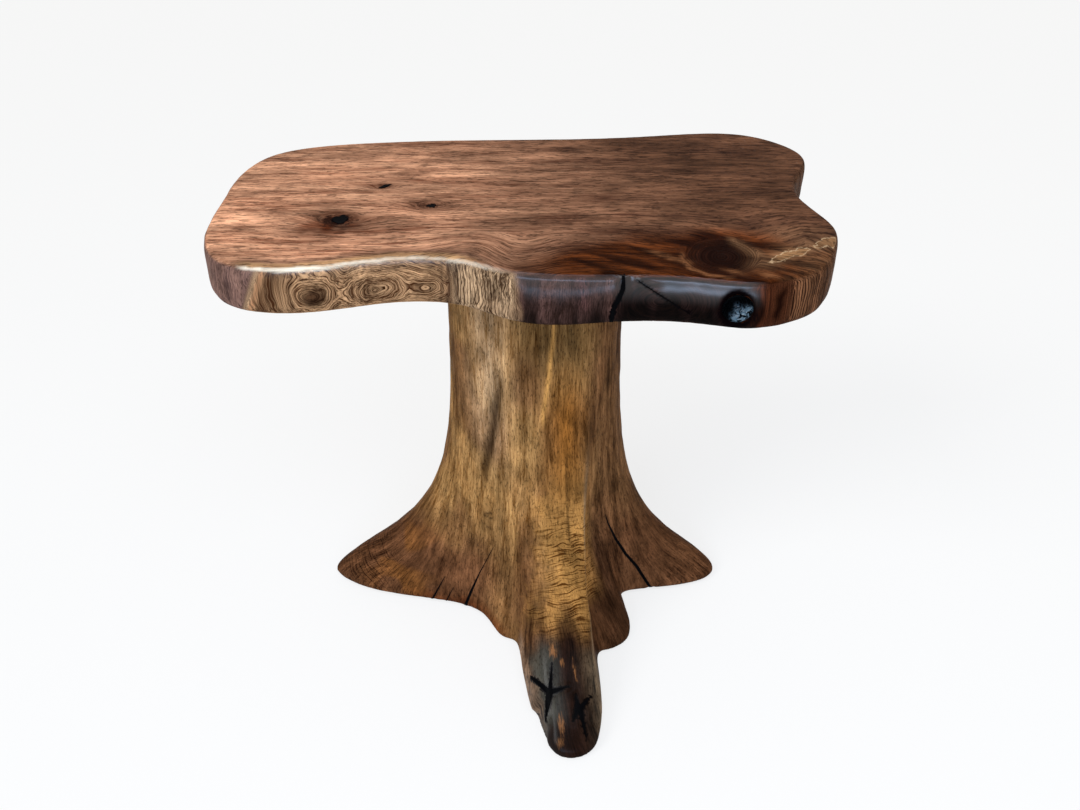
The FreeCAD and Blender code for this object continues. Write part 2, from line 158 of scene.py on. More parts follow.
# smooth noise, about -1 to 1, over places in millimetres
def cloudNoise(places, size, seed):
    count = 24  # cells before it repeats
    lattice = np.random.default_rng(seed).uniform(-1, 1, (count, count, count))
    cell = np.asarray(places) / size
    base = np.floor(cell).astype(int)
    part = cell - base
    part = part * part * (3 - 2 * part)
    total = np.zeros(len(cell))
    for corner in np.ndindex(2, 2, 2):
        weight = np.prod(np.where(corner, part, 1 - part), axis=1)
        i, j, k = ((base + corner) % count).T
        total += weight * lattice[i, j, k]
    return total


# the same over the points of the piece in hand
def cloud(size, seed, stretch=(1, 1, 1)):
    return cloudNoise(points * stretch, size, seed)


def softStep(low, high, value):
    share = np.clip((value - low) / (high - low), 0, 1)
    return share * share * (3 - 2 * share)


# 0 outside low and high, 1 between the inner limits
def span(value, low, lowFull, highFull, high):
    return softStep(low, lowFull, value) * softStep(high, highFull, value)


def hump(value, middle, width):
    return np.exp(-(((value - middle) / width) ** 2))


# woods hold the light and the dark colour of every point
def plainWood(look, *names):
    return [np.tile(linearFromHex(look[name])[:3], (len(points), 1)) for name in names]


def stain(woods, look, lightName, darkName, lightShare, darkShare=None):
    shares = (lightShare, lightShare if darkShare is None else darkShare)
    for i, name in enumerate((lightName, darkName)):
        if name:
            woods[i] = woods[i] + (np.array(linearFromHex(look[name])[:3]) - woods[i]) * shares[i][:, None]


def brighten(woods, lightTimes, darkTimes):
    woods[:] = woods[0] * lightTimes[:, None], woods[1] * darkTimes[:, None]


def setFields(mesh, fields):
    for name, values in fields.items():
        kind, key = {1: ("FLOAT", "value"), 2: ("FLOAT_VECTOR", "vector")}[values.ndim]
        field = mesh.attributes.new(name, kind, "POINT")
        field.data.foreach_set(key, values.astype(np.float32).ravel())


# a dense closed skin round a wood node and the resin set flush in it, in place of the CAD facets
def grownSkin(name, woodNode, fillNodes, voxel):
    joined = bmesh.new()
    for nodeName in [woodNode] + fillNodes:
        joined.from_mesh(cadNodes[nodeName].data)
    rough = bpy.data.meshes.new(name)
    joined.to_mesh(rough)
    joined.free()
    piece = addObject(name, rough)
    skin = piece.modifiers.new("skin", "REMESH")
    skin.mode = "VOXEL"
    skin.voxel_size = voxel / mm
    mesh = bpy.data.meshes.new_from_object(piece.evaluated_get(bpy.context.evaluated_depsgraph_get()))
    piece.modifiers.clear()
    piece.data = mesh
    mesh.shade_smooth()
    return piece


def pointsAndNormals(mesh):
    places = np.empty(len(mesh.vertices) * 3, np.float32)
    outward = np.empty(len(mesh.vertices) * 3, np.float32)
    mesh.vertices.foreach_get("co", places)
    mesh.vertex_normals.foreach_get("vector", outward)
    return places.reshape(-1, 3).astype(float) * mm, outward.reshape(-1, 3).astype(float)


# millimetres from each point of the piece in hand to the nearest resin
def resinDistance(meshes):
    joined = bmesh.new()
    for mesh in meshes:
        joined.from_mesh(mesh)
    tree = BVHTree.FromBMesh(joined)
    joined.free()
    found = [tree.find_nearest(Vector(point) / mm, resinReach / mm)[3] for point in points]
    return np.array([resinReach if d is None else d * mm for d in found])


# draws each point towards the middle of its neighbours, by its own share
def relaxed(mesh, places, share, rounds):
    ends = np.empty(len(mesh.edges) * 2, np.int32)
    mesh.edges.foreach_get("vertices", ends)
    first, second = ends.reshape(-1, 2).T
    count = np.bincount(ends, minlength=len(places))[:, None]
    for step in range(rounds):
        total = np.zeros_like(places)
        np.add.at(total, first, places[second])
        np.add.at(total, second, places[first])
        places = places + share[:, None] * (total / count - places)
    return places


def moveSkin(mesh, places):
    low, high = (np.array(limit) * mm for limit in cadBox)
    mesh.vertices.foreach_set("co", (np.clip(places, low, high) / mm).astype(np.float32).ravel())
    mesh.update()


# a closed piece of resin, skinned over rings of points
def ringedPiece(name, nodeName, rings):
    shape = bmesh.new()
    loops = [[shape.verts.new(point) for point in ring] for ring in rings]
    for lower, upper in zip(loops, loops[1:]):
        for i in range(len(lower)):
            j = (i + 1) % len(lower)
            shape.faces.new((lower[i], lower[j], upper[j], upper[i]))
    shape.faces.new(loops[-1])
    shape.faces.new(loops[0][::-1])
    bmesh.ops.recalc_face_normals(shape, faces=shape.faces)
    mesh = bpy.data.meshes.new(name)
    shape.to_mesh(mesh)
    shape.free()
    piece = addObject(name, mesh)
    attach(piece, "root")
    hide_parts(nodeName)
    return piece


# resin poured into a ragged knot: an uneven outline and a slightly dished face, flush with the top
def raggedPlug(name, nodeName, halfLong, halfWide, seed):
    middle = middleOf(nodeName)
    low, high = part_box(nodeName)
    levels = [(1.0, low[2]), (1.0, high[2] - 0.0003), (0.94, high[2] - 0.00003), (0.5, high[2] - 0.0002)]
    turns = np.linspace(0, 2 * math.pi, 72, endpoint=False)
    circle = np.column_stack([np.cos(turns), np.sin(turns), 0 * turns])
    reach = 1 + 0.22 * cloudNoise(circle, 0.45, seed) + 0.12 * cloudNoise(circle, 0.16, seed + 1)
    rings = []
    for share, level in levels:
        rings.append([
            (middle.x + share * r * halfLong * c[0] / mm, middle.y + share * r * halfWide * c[1] / mm, level)
            for r, c in zip(reach, circle)
        ])
    return ringedPiece(name, nodeName, rings)


# resin brushed into the knot hole: a bowl with ropy wrinkles, inside the hole's own wall
def brushedBowl(name, nodeName, outer, lip, deep, recess):
    low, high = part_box(nodeName)
    middle = middleOf(nodeName)
    front = low[1] * mm + recess
    levels = [(outer, high[1] * mm - front - 1), (outer, 0.6), (outer - 0.2, 0)]
    levels += [(lip * share, 0.6 + deep * (1 - share ** 2) ** 0.8) for share in np.linspace(1, 0.04, 26)]
    turns = np.linspace(0, 2 * math.pi, 90, endpoint=False)
    rings = []
    for reach, depth in levels:
        shift = 4.5 * max(0, 1 - reach / lip)  # the bottom of the bowl lies up and to the left
        ring = np.column_stack([
            middle.x * mm - shift + reach * np.cos(turns), np.full(len(turns), front + depth),
            middle.z * mm + shift + reach * np.sin(turns),
        ])
        if depth > 1 and reach < lip:
            ring[:, 1] += 1.5 * cloudNoise(ring, 6, 61) + 1.0 * cloudNoise(ring, 3, 62)
        rings.append([Vector(point) / mm for point in ring])
    piece = ringedPiece(name, nodeName, rings)
    piece.data.shade_smooth()
    return piece


print("tools ready")

# camera, solved from the picture: focal length 975 of 1080 pixels, 38 degrees down
trunkAxis = middleOf("mounting_plate")
view = {"place": (0.007, -1.070, 1.140), "down": 38, "lens": 32.5, "sensor": 36}
cameraData = bpy.data.cameras.new("photoCamera")
cameraData.lens = view["lens"]
cameraData.sensor_width = view["sensor"]
camera = addObject("photoCamera", cameraData)
camera.location = (trunkAxis.x + view["place"][0], trunkAxis.y + view["place"][1], view["place"][2])
camera.rotation_euler = (math.radians(90 - view["down"]), 0, 0)
bpy.context.scene.camera = camera
print("camera set")

# the slab: lengths in mm from its middle, along the grain, across it, and up from its underside
slab = {
    "voxel": 2.65,
    "fills": ["edge_crack_fill", "edge_check_fill", "top_knot_fill", "pin_knot_fill", "bark_pocket_fill"],
    "underResin": 0.45,  # the wood stays this far below the polished resin
    "edgeWander": 1.1,  # live edge, out and in
    "edgeDents": 0.5,
    "arrisRound": 7.5,  # rubbed off the dark front arris
    "budKnot": (-230, 28, 12, 7.0),  # along, up, radius, height of the bud on the front edge
    "eyes": [(-163, 24, 1), (-108, 24, 0.14)],  # along, up, how strongly the lines close round it
    # piece, half length and half width of the black
    "plugs": {"top_knot_fill": ("topKnotEpoxy", 8.5, 9), "pin_knot_fill": ("pinKnotEpoxy", 5, 4)},
    # how far round a knot the lines part
    "knotReach": {"top_knot_fill": 15, "pin_knot_fill": 11, "bark_pocket_fill": 9},
    "sapwoodStart": -314,  # on the front edge, at the underside
    "ripple": (-76, -5),  # washboard
    "darkHeart": (-5, 272),
    # along, and how far across the dark wood of the front right reaches
    "crotch": ([-60, 0, 60, 130, 200, 260, 320], [-205, -158, -128, -104, -88, -90, -135]),
    "burl": (219, -145, 34),  # along, across, radius of the ringed patch
    "halo": (-224, -72, 34, 22),  # red round the big knot: along, across, half length, half width
    "flecks": [(148, -137), (163, -146), (175, -153), (264, -186), (226, -176)],  # along, across
    "tear": (246, -165, 0.53),  # pale torn wood: along, across and slope of its line
    "tanStreak": (252, -131, -1.12),
    "crack": (92, 112),  # along: the front edge is darker to the right of it
    "edgeArcs": (151, 30),  # along, up: growth lines bow round this place right of the crack
    "pinkStreak": (70, 5),  # along, half width
    "corner": (243, 252, 282, 298),  # red-brown wood: where it starts, is full, fades and ends
    "cornerArc": (231, 25, 26),  # along, up, radius
    "bark": (276, 30),  # along, up
    "sheen": (202, 34),  # along, half length where the rubbed edge shines most
    # some of these dark marks are painted cast shadow, not stains
    "smears": [  # dark stains on the top: along, across, half length, half width, strength
        (-222, -62, 44, 22, 0.9), (-326, -76, 26, 14, 0.45), (-300, -42, 52, 9, 0.45),
        (-132, -16, 22, 8, 0.5), (-146, 62, 24, 13, 0.6), (-256, -80, 22, 9, 0.55),
        (-120, 100, 30, 12, 0.4), (14, -62, 9, 8, 0.6), (-60, 20, 70, 9, 0.35),
        (60, -60, 70, 14, 0.4), (-20, -20, 60, 7, 0.3), (120, -84, 60, 12, 0.5),
        (-330, 10, 40, 6, 0.35),
    ],
    # lighter places, given in the same way
    "glows": [(-110, -36, 50, 24, 0.2), (-335, -70, 45, 60, 0.42), (-60, 60, 80, 40, 0.1)],
    # painted shadow: the black round the knot hole stands for a deeper hollow
    "holeBlack": (17.6, 22),  # half width and height of the black round the knot hole
    "satin": (0.5, 0.4), "bump": (0.4, 0.0005),
    "coat": (0.28, 1.6),  # roughness and IOR where the edge is rubbed
    "topLight": "#f2b58d", "topDark": "#784630", "farLight": "#82583f", "farDark": "#38231a",
    "duskLight": "#86614c", "duskDark": "#3d261c", "knotRed": "#451c0e", "haloRed": "#a5522c",
    "crotchLight": "#7f421e", "crotchDark": "#120301", "burlWood": "#29140d", "fleck": "#b5764c",
    "tan": "#b98a62", "tanDark": "#4e3322", "paleWood": "#a0774f", "paleRim": "#dcbd94",
    # the sap line's near white is partly painted highlight
    "sapLight": "#cb9e73", "sapDark": "#402413", "sapTan": "#d3a673", "sapLine": "#fff4dc",
    "rippleLight": "#c8a47e", "rippleDark": "#443020", "heartLight": "#4e3731", "heartDark": "#2a1a15",
    "heartPink": "#7d5450", "burlLight": "#33201c", "burlDark": "#060203",
    "cornerLight": "#6a371f", "cornerDark": "#1e0c06", "stripeLight": "#85593c", "stripeDark": "#180a05",
    "endLight": "#8a685a", "endDark": "#56403a", "budBrown": "#3a1f10", "knotBlack": "#1d0b06",
    "pore": "#150905",
}

slabPiece = grownSkin("walnutSlab", "tabletop", slab["fills"], slab["voxel"])
slabMesh = slabPiece.data
slabMiddle = middleOf("tabletop")
points, normals = pointsAndNormals(slabMesh)
along = points[:, 0] - slabMiddle.x * mm
across = points[:, 1] - slabMiddle.y * mm
up = points[:, 2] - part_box("tabletop")[0][2] * mm
plugs = [
    raggedPlug(pieceName, nodeName, halfLong, halfWide, 50)
    for nodeName, (pieceName, halfLong, halfWide) in slab["plugs"].items()
]
crackNodes = [nodeName for nodeName in slab["fills"] if nodeName not in slab["plugs"]]
resin = resinDistance([cadNodes[n].data for n in crackNodes] + [plug.data for plug in plugs])
clearOfResin = softStep(0.5, 8, resin)
checkAway = resinDistance([cadNodes["edge_check_fill"].data])
steep = np.hypot(normals[:, 0], normals[:, 1])  # 0 on the flat faces, 1 on the upright ones
edge = softStep(0.45, 0.85, steep)
facingFront = softStep(-0.15, -0.5, normals[:, 1])

# waney edge: wander, small dents, the bud and the rubbed arris
swell = edge * (slab["edgeWander"] * cloud(60, 1) + slab["edgeDents"] * cloud(14, 2))
budAlong, budUp, budRadius, budHeight = slab["budKnot"]
budAway = np.hypot(along - budAlong, up - budUp)
swell += facingFront * budHeight * hump(budAway, 0, budRadius)
rubbed = facingFront * span(along, -30, 20, 250, 310)
swell -= slab["arrisRound"] * rubbed * hump(up, 63, 17) * edge
swell = swell * clearOfResin - slab["underResin"] * (1 - softStep(2, 7, resin))
worn = 0.5 * clearOfResin * softStep(36, 50, up) * (0.25 + 0.75 * rubbed) * softStep(0.02, 0.2, steep)
moveSkin(slabMesh, relaxed(slabMesh, points + normals * swell[:, None], worn, 10))
print("slab skin:", len(slabMesh.polygons), "faces")

# how far a point lies behind the front rim of the flat top, found in columns along the slab
columnStart, columnWide = -400, 4
onTop = up > 59
columns = np.floor((along - columnStart) / columnWide).astype(int)
rim = np.full(columns.max() + 1, 200.0)
np.minimum.at(rim, columns[onTop], across[onTop])
behindRim = across - np.interp(along, (np.arange(len(rim)) + 0.5) * columnWide + columnStart, rim)

# the top's growth lines run along the slab, part round the knots and close into rings at the burl
topLines = across + 5 * cloud(45, 3, (0.25, 1, 1)) + 1.5 * cloud(16, 4, (0.3, 1, 1))
knotShade = np.zeros(len(points))
for nodeName, reach in slab["knotReach"].items():
    knot = middleOf(nodeName)
    knotAcross = points[:, 1] - knot.y * mm
    oval = ((points[:, 0] - knot.x * mm) / 1.9) ** 2 + knotAcross ** 2
    topLines -= knotAcross * reach ** 2 / (oval + reach ** 2 / 3)
    topLines += reach * np.exp(-oval / (1.6 * reach) ** 2)
    knotShade = np.maximum(knotShade, np.exp(-oval / reach ** 2))
behindCrotch = across - np.interp(along, *slab["crotch"])
crotchSide = softStep(-70, 60, along)
crotch = softStep(26, -18, behindCrotch + 12 * cloud(26, 5)) * crotchSide
topLines += softStep(95, -55, behindCrotch) * crotchSide * (3 * cloud(38, 6) + 0.2 * (along - 60))
burlAlong, burlAcross, burlRadius = slab["burl"]
burlAway = np.hypot(along - burlAlong, across - burlAcross) + 1.5 * cloud(14, 39)
burl = softStep(1.25 * burlRadius, 0.8 * burlRadius, burlAway)
topLines += (0.8 * burlAway - topLines) * burl
# a feather behind the ripple, and lines that fall to the right corner
topLines += hump(along, -30, 48) * softStep(-75, -128, across) * 1.1 * (along + 30)
topLines += 0.2 * np.maximum(along - 245, 0) * softStep(-80, -165, across) * (1 - burl)

# the front edge's lines: eyes in the sapwood, upright ripple, then upright bands in the heartwood
loopWidth = 6
budFar = softStep(10, 42, budAway)
budOval = np.hypot((along - budAlong) / (1.4 - 0.4 * budFar), (1 - 0.5 * budFar) * (up - budUp))
loops = np.exp(-budOval / loopWidth)
for eyeAlong, eyeUp, eyeShare in slab["eyes"]:
    loops += eyeShare * np.exp(-np.hypot((along - eyeAlong) / 1.7, up - eyeUp) / loopWidth)
edgeLines = -loopWidth * np.log(loops + 1e-30)
edgeLines -= 0.25 * np.maximum(edgeLines - 42, 0)  # wider lines towards the left end
edgeLines *= 1.25
edgeLines += 2.8 * cloud(16, 7) + 2.0 * cloud(8, 8) + 0.7 * cloud(5, 13)
uneven = along + 5 * cloud(13, 61, (1, 1, 0.6))  # the bands meet along uneven lines
rippleStart, rippleEnd = slab["ripple"]
heartStart, heartEnd = slab["darkHeart"]
ripple = span(uneven, rippleStart - 6, rippleStart + 4, rippleEnd - 8, rippleEnd + 8) * facingFront
rightEnd = softStep(-20, 20, along - heartEnd)
darkHeart = softStep(-7, 7, uneven - heartStart) * softStep(20, -20, along - heartEnd) * facingFront
pastEnd = along - slab["sapwoodStart"] - 0.43 * up
leftEnd = softStep(4, -2, pastEnd)
broad, fine = cloud(25, 9), cloud(9, 14)
upright = (along - 0.35 * across) * (1 - 0.42 * ripple) + 3 * broad + 1.2 * fine
aroundEnd = 300 * np.arctan2(across, np.abs(along)) + 2 * broad + 0.8 * fine
upright += (aroundEnd - upright) * np.clip(rightEnd + leftEnd, 0, 1)  # counted round the slab's ends
arcsAlong, arcsUp = slab["edgeArcs"]
arcs = np.hypot(along - arcsAlong, 1.5 * (up - arcsUp)) + 2 * broad
upright += (arcs - upright) * facingFront * span(along, 108, 116, 215, 240)
standing = np.clip(ripple + darkHeart + rightEnd + leftEnd, 0, 1)
edgeLines += (upright - edgeLines) * standing
edgeRun = along + (up * (1 - 0.7 * rightEnd - 0.3 * ripple) - along) * standing


# noise in upright bands of the front edge
def bandNoise(rise, size, seed):
    return cloudNoise(np.column_stack([along, 0 * up, rise * up]), size, seed)


# colours of the top: paler to the left (partly painted light), stained round the knots, dark and red in the
# crotch
topWood = plainWood(slab, "topLight", "topDark")
# darker to the right: partly darker heartwood, partly painted shade away from the light on the left
far = np.clip(softStep(-280, 260, along) + 0.2 * softStep(60, 190, across), 0, 1)
stain(topWood, slab, "farLight", "farDark", far)
# dark stains on the top, some of them painted cast shadow
stainAndShadow = np.zeros(len(points))
for smearAlong, smearAcross, halfLong, halfWide, strength in slab["smears"]:
    blot = hump(along, smearAlong, halfLong) * hump(topLines, smearAcross, halfWide)
    stainAndShadow = np.maximum(stainAndShadow, strength * blot)
stainAndShadow = np.clip(stainAndShadow * (1 + 0.5 * cloud(9, 15)), 0, 1)
stain(topWood, slab, "knotRed", "crotchDark", stainAndShadow, 0.8 * stainAndShadow)
stain(topWood, slab, "knotRed", "crotchDark", 0.8 * knotShade)
stain(topWood, slab, "crotchLight", "crotchDark", crotch)
leaning = np.column_stack([(0.9 * along - 0.45 * across) / 4, 0.45 * along + 0.9 * across, up])
stain(topWood, slab, "crotchDark", None, 0.85 * crotch * softStep(-0.25, 0.4, cloudNoise(leaning, 11, 45)))
stain(topWood, slab, "knotRed", None, 0.85 * hump(burlAway, 0, 48) * crotch)
burlTone = softStep(1.75 * burlRadius, 0.45 * burlRadius, burlAway + 7 * cloud(17, 63))
stain(topWood, slab, "burlWood", "crotchDark", 0.9 * burlTone, burlTone)
burlRim = hump(burlAway + 2.5 * cloud(10, 54), 43, 2.6)
burlRim *= softStep(12, -12, along - burlAlong) * softStep(18, -8, across - burlAcross)
stain(topWood, slab, "fleck", "fleck", 0.9 * burlRim, 0.45 * burlRim)
haloAlong, haloAcross, halfLong, halfWide = slab["halo"]
halo = hump(along, haloAlong, halfLong) * hump(across, haloAcross, halfWide)
halo *= softStep(-0.3, 0.4, cloud(9, 40, (0.6, 1, 1)))
stain(topWood, slab, "haloRed", "crotchDark", 0.8 * halo)
for fleckAlong, fleckAcross in slab["flecks"]:
    fleckLine = across + 0.4 * (along - fleckAlong) + 3 * cloud(7, 51)
    fleck = hump(along, fleckAlong, 9) * hump(fleckLine, fleckAcross, 4.5)
    stain(topWood, slab, "fleck", "fleck", fleck, 0.15 * fleck)
# the torn pale wood near the right corner, and tan round it
offEdge = 60 * edge  # keeps a mark of the top from the edge
tearAlong, tearAcross, tearSlope = slab["tear"]
paleLine = across - tearAcross - tearSlope * (along - tearAlong) + 4 * cloud(18, 41)
paleAway = np.abs(paleLine) - 4.5 + 18 * softStep(290, 240, along) + offEdge + 10 * hump(along, 325, 9)
tanAlong, tanAcross, tanSlope = slab["tanStreak"]
streakLine = across - tanAcross - tanSlope * (along - tanAlong) + 4 * cloud(12, 55)
tanZone = np.max([
    hump(paleLine, 0, 16) * softStep(225, 285, along),
    0.5 * softStep(265, 325, along) * softStep(-60, -105, across),
    0.8 * hump(streakLine, 0, 13) * span(along, 226, 242, 270, 292),
], axis=0)
stain(topWood, slab, "tan", "tanDark", 0.75 * tanZone, 0.7 * tanZone)
glow = np.zeros(len(points))
for glowAlong, glowAcross, halfLong, halfWide, strength in slab["glows"]:
    glow += strength * hump(along, glowAlong, halfLong) * hump(across, glowAcross, halfWide)
brighten(topWood, 1 + glow, 1 + 0.7 * glow)
# behind the front rim: dusky wood, then tan sapwood
dusk = softStep(26, 10, behindRim + 3 * cloud(20, 20)) * span(along, -320, -300, -60, -10)
stain(topWood, slab, "duskLight", "duskDark", 0.8 * dusk)
sapTop = softStep(13, 4, behindRim + 2 * cloud(20, 60)) * span(along, -318, -296, -80, -30)
stain(topWood, slab, "sapTan", "tan", 0.8 * sapTop, 0.7 * sapTop)
mottle = 1 + 0.18 * cloud(34, 10, (0.45, 1, 1)) + 0.1 * cloud(13, 16, (0.45, 1, 1))
mottle += 0.2 * cloud(80, 47, (0.7, 1, 1))
brighten(topWood, mottle, mottle)

# colours of the edge: sapwood, ripple, dark heartwood, stripes at the right end, plain at the left
edgeWood = plainWood(slab, "sapLight", "sapDark")
crackStart, crackEnd = slab["crack"]
leftOfCrack = softStep(crackEnd, crackStart, along)
for share, kind in (
    (ripple, "ripple"), (darkHeart, "heart"), (darkHeart * (1 - leftOfCrack), "burl"),
    (rightEnd, "stripe"), (leftEnd, "end"),
):
    stain(edgeWood, slab, kind + "Light", kind + "Dark", share)
barAt = along - rippleStart + 3 * cloud(14, 38)
bars = hump(barAt, -6, 3.2) + hump(barAt, 2, 1.8) + 0.8 * hump(barAt, -13, 1.6)
seam = 0.9 * np.clip(bars, 0, 1) * facingFront
stain(edgeWood, slab, "heartDark", "heartDark", 0.85 * seam, 0.6 * seam)
endLine = 0.8 * hump(pastEnd, 4, 3) * facingFront
stain(edgeWood, slab, "rippleLight", "rippleLight", endLine, 0.5 * endLine)
warmBand = 0.7 * hump(pastEnd, 9.5, 4) * facingFront
stain(edgeWood, slab, "haloRed", "sapLight", 0.6 * warmBand, 0.4 * warmBand)
stain(edgeWood, slab, "sapDark", None, 0.6 * span(pastEnd, 12, 17, 24, 46) * facingFront)
bands = 0.75 * bandNoise(0.12, 12, 52) + 0.3 * bandNoise(0.08, 4.5, 62)
bandShade = np.clip(1 + darkHeart * (bands - 0.6 * softStep(46, 8, up)), 0.1, 2)
brighten(edgeWood, bandShade, bandShade)
pinkStreak = hump(along + 0.1 * up + 2 * cloud(15, 56), *slab["pinkStreak"])
pinkStreak *= softStep(10, 40, up) * facingFront
stain(edgeWood, slab, "heartPink", None, 0.7 * pinkStreak)
# red-brown wood right of the knot hole, with a dark arc and bark grown into the corner
stain(edgeWood, slab, "cornerLight", "cornerDark", 0.85 * span(along, *slab["corner"]) * facingFront)
arcAlong, arcUp, arcRadius = slab["cornerArc"]
arcAway = np.hypot(along - arcAlong, up - arcUp) + 1.5 * cloud(12, 57)
arcShade = 0.92 * hump(arcAway, arcRadius, 3.2) * softStep(236, 246, along) * softStep(56, 44, up)
barkAlong, barkUp = slab["bark"]
barkLine = along - 0.2 * (up - barkUp) + 2.5 * cloud(10, 58)
barkShade = 0.93 * hump(barkLine, barkAlong, 5) * span(up, 6, 20, 44, 60)
stain(edgeWood, slab, "crotchDark", "crotchDark", facingFront * np.maximum(arcShade, barkShade))
# black in the knot hole, and brown on the bud with painted shade on its lower side
holeX, holeY, holeZ = np.array(middleOf("knot_hole_lining")) * mm
besideHole, overHole = points[:, 0] - holeX, points[:, 2] - holeZ
holeAway = np.hypot(besideHole, overHole)
holeWall = (holeAway < 18.6) & (points[:, 1] < holeY + 30)
holeShade = np.maximum(facingFront * softStep(34, 17, holeAway + 4 * cloud(9, 19)), 1.15 * holeWall)
stain(edgeWood, slab, "burlDark", "burlDark", 0.85 * holeShade)
# painted shade: the bud's dark lies low, on its shaded side
budBelow = np.hypot((along - budAlong) / 1.3, up - budUp + 3)
budBrownAndShade = softStep(15, 5, budBelow + 2 * cloud(7, 48)) * facingFront
stain(edgeWood, slab, "budBrown", "crotchDark", 0.9 * budBrownAndShade, 0.85 * budBrownAndShade)
light, dark = (top + (side - top) * edge[:, None] for top, side in zip(topWood, edgeWood))

# gloss on the rubbed dark edge, shorter left of the crack, and along the sapwood's arris
sheenRise = (1 - 0.2 * leftOfCrack) * softStep(24, 50 + 14 * leftOfCrack, up)
sheenRise *= (0.8 + 0.2 * hump(along, *slab["sheen"])) * (1 + 0.2 * bandNoise(0.15, 14, 59))
polish = darkHeart * softStep(0.15, 0.5, steep) * np.clip(0.03 + sheenRise, 0, 1) * softStep(264, 244, along)
sapArris = span(along, -310, -290, -80, -20) * hump(up, 58, 7) * softStep(10, 2, behindRim) * facingFront
polish = np.maximum(polish, 0.6 * sapArris)

# black beyond the resin: painted shadow of a deeper hollow in a tall oval round the knot hole, the check's
# broad end and the spot below it
halfWide, halfTall = slab["holeBlack"]
paintedHoleShadow = (np.hypot((besideHole + 2) / halfWide, overHole / halfTall) - 1) * 17
checkLow, checkHigh = (np.array(limit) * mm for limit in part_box("edge_check_fill"))
checkEnd = np.hypot(points[:, 0] - checkHigh[0] + 2, points[:, 2] - checkLow[2] - 3) - 1.2
onFront = facingFront > 0.3
blackAway = np.minimum(resin, np.where(onFront, np.minimum(paintedHoleShadow, checkEnd), resinReach))
checkBroad = 0.5 * softStep(checkHigh[0] - 10, checkLow[0] + 8, points[:, 0])
blackAway = np.minimum(blackAway, checkAway - checkBroad)
polish *= softStep(-0.5, 1, blackAway) * softStep(0, 5, np.where(onFront, paintedHoleShadow, resinReach))
knot = middleOf("top_knot_fill")
stainAway = np.hypot((points[:, 0] - knot.x * mm + 3) / 1.15, points[:, 1] - knot.y * mm + 2) - 9 + offEdge
lineStrength = 0.12 + 0.35 * knotShade + 0.15 * crotch + 0.5 * burl
edgeStrength = 0.66 - 0.4 * darkHeart - 0.4 * leftEnd + 0.25 * ripple + 0.75 * rightEnd
edgeStrength -= 0.6 * softStep(22, 10, budAway)
edgeStrength *= 1 - 0.35 * softStep(0, 0.5, normals[:, 1])  # quieter at the back
lineStrength += (edgeStrength - lineStrength) * edge
sapReach = span(along, -312, -298, -60, 0) * (0.5 + 0.5 * softStep(-150, -240, along))
sapDistance = np.maximum(behindRim + 0.5 + 2 * cloud(30, 12), 58 - up + 1.5 * cloud(20, 18))
setFields(slabMesh, {
    "topGrain": np.column_stack([along, topLines, up]),
    "edgeGrain": np.column_stack([edgeRun, edgeLines, across]),
    "edge": edge, "lightWood": light, "darkWood": dark, "polish": polish, "lineStrength": lineStrength,
    "sapDistance": sapDistance, "sapReach": sapReach, "resinAway": blackAway, "stainAway": stainAway,
    "paleAway": paleAway,
})

# black walnut slab, sanded and oiled: satin, fine dark pores, sapwood left on the waney edge
walnut = newMaterial("walnutSandedOiled")
tree = walnut.node_tree
topGrain, edgeGrain, lightWood, darkWood = (
    addNode(tree, "Attribute", attribute_name=name, out="Vector")
    for name in ("topGrain", "edgeGrain", "lightWood", "darkWood")
)
edgeMask, ringStrength, sapAway, sapAlong, rubbedGloss = (
    addNode(tree, "Attribute", attribute_name=name, out="Fac")
    for name in ("edge", "lineStrength", "sapDistance", "sapReach", "polish")
)
# fibres 2.2 mm and pores 1.9 mm wide: real pores are 0.2 mm, drawn coarser so that they show
topLayers = woodFigure(
    tree, topGrain, [(150, 14, 5), (34, 2.2, 4), (13, 1.9, 2), (80, 26, 4)], 0.5, 0.14, 0.53
)
edgeLayers = woodFigure(tree, edgeGrain, [(60, 9, 3), (24, 1.4, 3), (8, 0.9, 1), (30, 14, 4)], 0.55, 0.11)
topFigure = topLayers[0]
figure, pores, clouds = (
    addNode(tree, "Mix", {0: edgeMask, 2: top, 3: side}) for top, side in zip(topLayers, edgeLayers)
)
grainPick = addNode(tree, "Mix", {0: edgeMask, 4: topGrain, 5: edgeGrain}, out=1, data_type="VECTOR")
# growth rings about 2.6 mm apart, and 2.1 mm on the sapwood edge
rings = addNode(
    tree, "TexWave",
    {"Vector": grainPick, "Scale": 0.314 / 2.6, "Distortion": 2.2, "Detail": 2.0, "Detail Scale": 0.3},
    out="Fac", bands_direction="Y", wave_profile="SAW",
)
ringLine = addNode(tree, "MapRange", {0: rings, 1: 0.66, 2: 1.0})
ringDark = addNode(tree, "Math", {0: ringLine, 1: ringStrength}, operation="MULTIPLY")
figureDark = addNode(tree, "Math", {0: figure, 1: ringDark}, operation="SUBTRACT", use_clamp=True)
colour = addNode(tree, "Mix", {0: figureDark, 6: darkWood, 7: lightWood}, out=2, data_type="RGBA")
